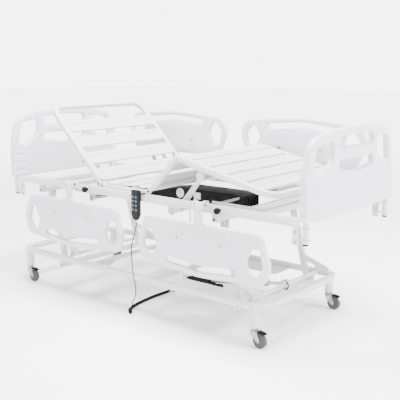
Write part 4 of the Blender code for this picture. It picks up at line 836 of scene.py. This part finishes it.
piece("lift_frame_screws", black, BLACK_NYLON, "lift_frame")
KNOB_OFFSET, KNOB_Z = 0.085, 0.695
profile = [(0.0, 0.0048), (0.018, 0.0048), (0.0183, 0.0088), (0.032, 0.0088), (0.036, 0.0165)]
profile += [(0.0375, 0.0170), (0.046, 0.0170), (0.049, 0.0160), (0.0512, 0.0135), (0.0519, 0.0100)]
for x, end in RAIL_CENTRES:
    for side, label in SIDES:
        node = f"rail_knob_{end}_{label}"
        inner, outer = ((x + KNOB_OFFSET, side * y, KNOB_Z) for y in (0.408, 0.460))
        knob = [turned(inner, outer, profile, 40)]
        piece(f"knob_{end}_{label}", knob, BLACK_NYLON, node, (node,))


# Section drives: plated torsion tubes with tapered levers and moulded rollers, and the black housing of the two
# motors, which hangs on the tubes and on a plated cross rod.
shafts = (("back_shaft", ZINC_PLATE, "zinc_steel"), ("leg_shaft", POWDER_COAT, "white_powder_coat"))
for name, material, slot in shafts:
    piece(name + "_levers", [refined(name, 0.001)], material, name, (name,))
# Name, shaft, the way its levers lean, their angle and length, roller radius, distance from the middle, looks.
rollers = (
    ("back_roller", BACK_SHAFT_X, -1, 51.5, 0.258, 0.020, 0.30, BLACK_NYLON, "black_plastic"),
    ("leg_roller", LEG_SHAFT_X, 1, 51.52, 0.255, 0.024, 0.34, MOULDED_ABS, "white_moulding"),
)
for name, x, facing, angle, lever, radius, spread, material, slot in rollers:
    slope = math.radians(angle)
    tip = (x + facing * lever * math.cos(slope), SHAFT_Z + lever * math.sin(slope))
    for side, label in SIDES:
        y = side * (spread + 0.0005)
        rim = [(0.0, 0.0085), (0.0005, 0.0095), (0.0012, radius * 0.62), (0.0012, radius * 0.74)]
        rim += [(0.0, radius * 0.80), (0.0, radius - 0.0025), (0.0008, radius - 0.0008), (0.0025, radius)]
        rim += [(0.018 - a, r) for a, r in reversed(rim)]
        roller = [turned((tip[0], y - 0.009, tip[1]), (tip[0], y + 0.009, tip[1]), rim, 40)]
        piece(f"{name}_{label}_wheel", roller, material, f"{name}_{label}", (f"{name}_{label}",))
outline = [(-0.433, 0.606), (0.1335, 0.600), (0.483, 0.608), (0.483, 0.700, 0.02), (0.395, 0.710, 0.06)]
outline += [(0.0435, 0.708, 0.08), (-0.3395, 0.646, 0.05), (-0.3735, 0.664), (-0.4255, 0.664)]
outline.append((-0.4335, 0.654, 0.004))
housing = [slab([rounded(outline, 0.012, 5)], 0.16, 0.008, IN_XZ, bend=3)]
housing.append(repeated(block((0.481, -0.063, 0.614), (0.4925, -0.057, 0.694), 0.0015), 5, (0.0, 0.030, 0.0)))
for x, z, wide, tall in ((-0.16, 0.635, 0.10, 0.030), (0.24, 0.650, 0.08, 0.040), (0.36, 0.655, 0.11, 0.050)):
    for side in (-1, 1):
        pad = rounded(rect(x, z - tall / 2, x + wide, z + tall / 2), 0.008, 4)
        housing.append(slab([pad], 0.002, 0.0006, IN_XZ, (0, side * 0.0794, 0)))
piece("dual_drive_housing", housing, BLACK_NYLON, "lift_frame", ("dual_drive",))
discs = []
for side in (-1, 1):
    hub = [(0.0, 0.0285), (0.004, 0.0285), (0.005, 0.027), (0.005, 0.0125), (0.009, 0.0120), (0.010, 0.0105)]
    discs.append(turned((0.024, side * 0.0790, 0.6735), (0.024, side * 0.0890, 0.6735), hub, 48))
    low_y, high_y = sorted((side * 0.079, side * 0.086))
    discs.append(block((0.132, low_y, 0.652), (0.182, high_y, 0.690), 0.004))
piece("dual_drive_end_covers", discs, MOULDED_ABS, "lift_frame")
cross_rod = [rod((0.455, -0.3058, 0.690), (0.455, 0.3058, 0.690), 0.0079, 0.0015)]
piece("drive_rod", cross_rod, ZINC_PLATE, "lift_frame", ("drive_hanger_rod",))


# Handset: two-part nylon shell with a rubber-edged key field, eight membrane keys and a hook over the side rail.
# Membrane keys: printed polyester over domes, a muted blue.
KEY_BLUE = grained("blue_membrane_keys", "2B4A60", "325066", 0.35, 0.04, 2.0, 0.02)
# Dark handset shell: moulded ABS blend, charcoal with a fine spark texture.
CHARCOAL_SHELL = grained("charcoal_moulded_shell", "141416", "19191B", 0.5, 0.06, 1.2, 0.06, ior=1.4, sheen=0.15)
x, low, high = 0.0095, 0.568, 0.738
case = [(x - 0.0126, low, 0.008), (x + 0.0126, low, 0.008), (x + 0.028, low + 0.030, 0.012)]
case += [(x + 0.028, high, 0.008), (x - 0.028, high, 0.008), (x - 0.028, low + 0.030, 0.012)]
case = rounded(case, 0.008, 6)
centre = Vector((x, (low + high) / 2))
smaller = [centre + (Vector(p) - centre) * 0.985 for p in case]
shell = [slab([case], 0.0122, 0.0045, IN_XZ, (0, -0.4344, 0), 3)]
shell.append(slab([case], 0.0112, 0.0035, IN_XZ, (0, -0.4466, 0), 3))
shell.append(slab([smaller], 0.020, 0.002, IN_XZ, (0, -0.441, 0)))
field = rounded(rect(x - 0.021, low + 0.046, x + 0.021, low + 0.146), 0.006, 4)
shell.append(slab([field], 0.0012, 0.0005, IN_XZ, (0, -0.4530, 0)))
shell.append(rod((x, -0.441, low + 0.0002), (x, -0.441, low + 0.010), 0.0052))
shell.append(block((x - 0.0175, -0.4299, 0.6535), (x + 0.0175, -0.4222, 0.7185), 0.002))
shell.append(block((x - 0.0175, -0.4299, 0.7140), (x + 0.0475, -0.4085, 0.7187), 0.001))
piece("handset_shell", shell, CHARCOAL_SHELL, "lift_frame", ("handset",))
for row in range(4):
    for column in (0, 1):
        number = 1 + row * 2 + column
        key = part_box(f"handset_button_{number}")
        low_key, high_key = Vector(key[0]), Vector(key[1])
        middle = (low_key + high_key) / 2
        radius = (high_key.x - low_key.x) / 2
        dome = [(0.0, radius * 0.55), (0.0006, radius * 0.8), (0.0014, radius * 0.96), (0.0022, radius)]
        dome += [(high_key.y - low_key.y, radius)]
        cap = [turned((middle.x, low_key.y, middle.z), (middle.x, high_key.y, middle.z), dome, 32)]
        piece(f"key_{number}", cap, KEY_BLUE, f"button_{number}", (f"handset_button_{number}",))
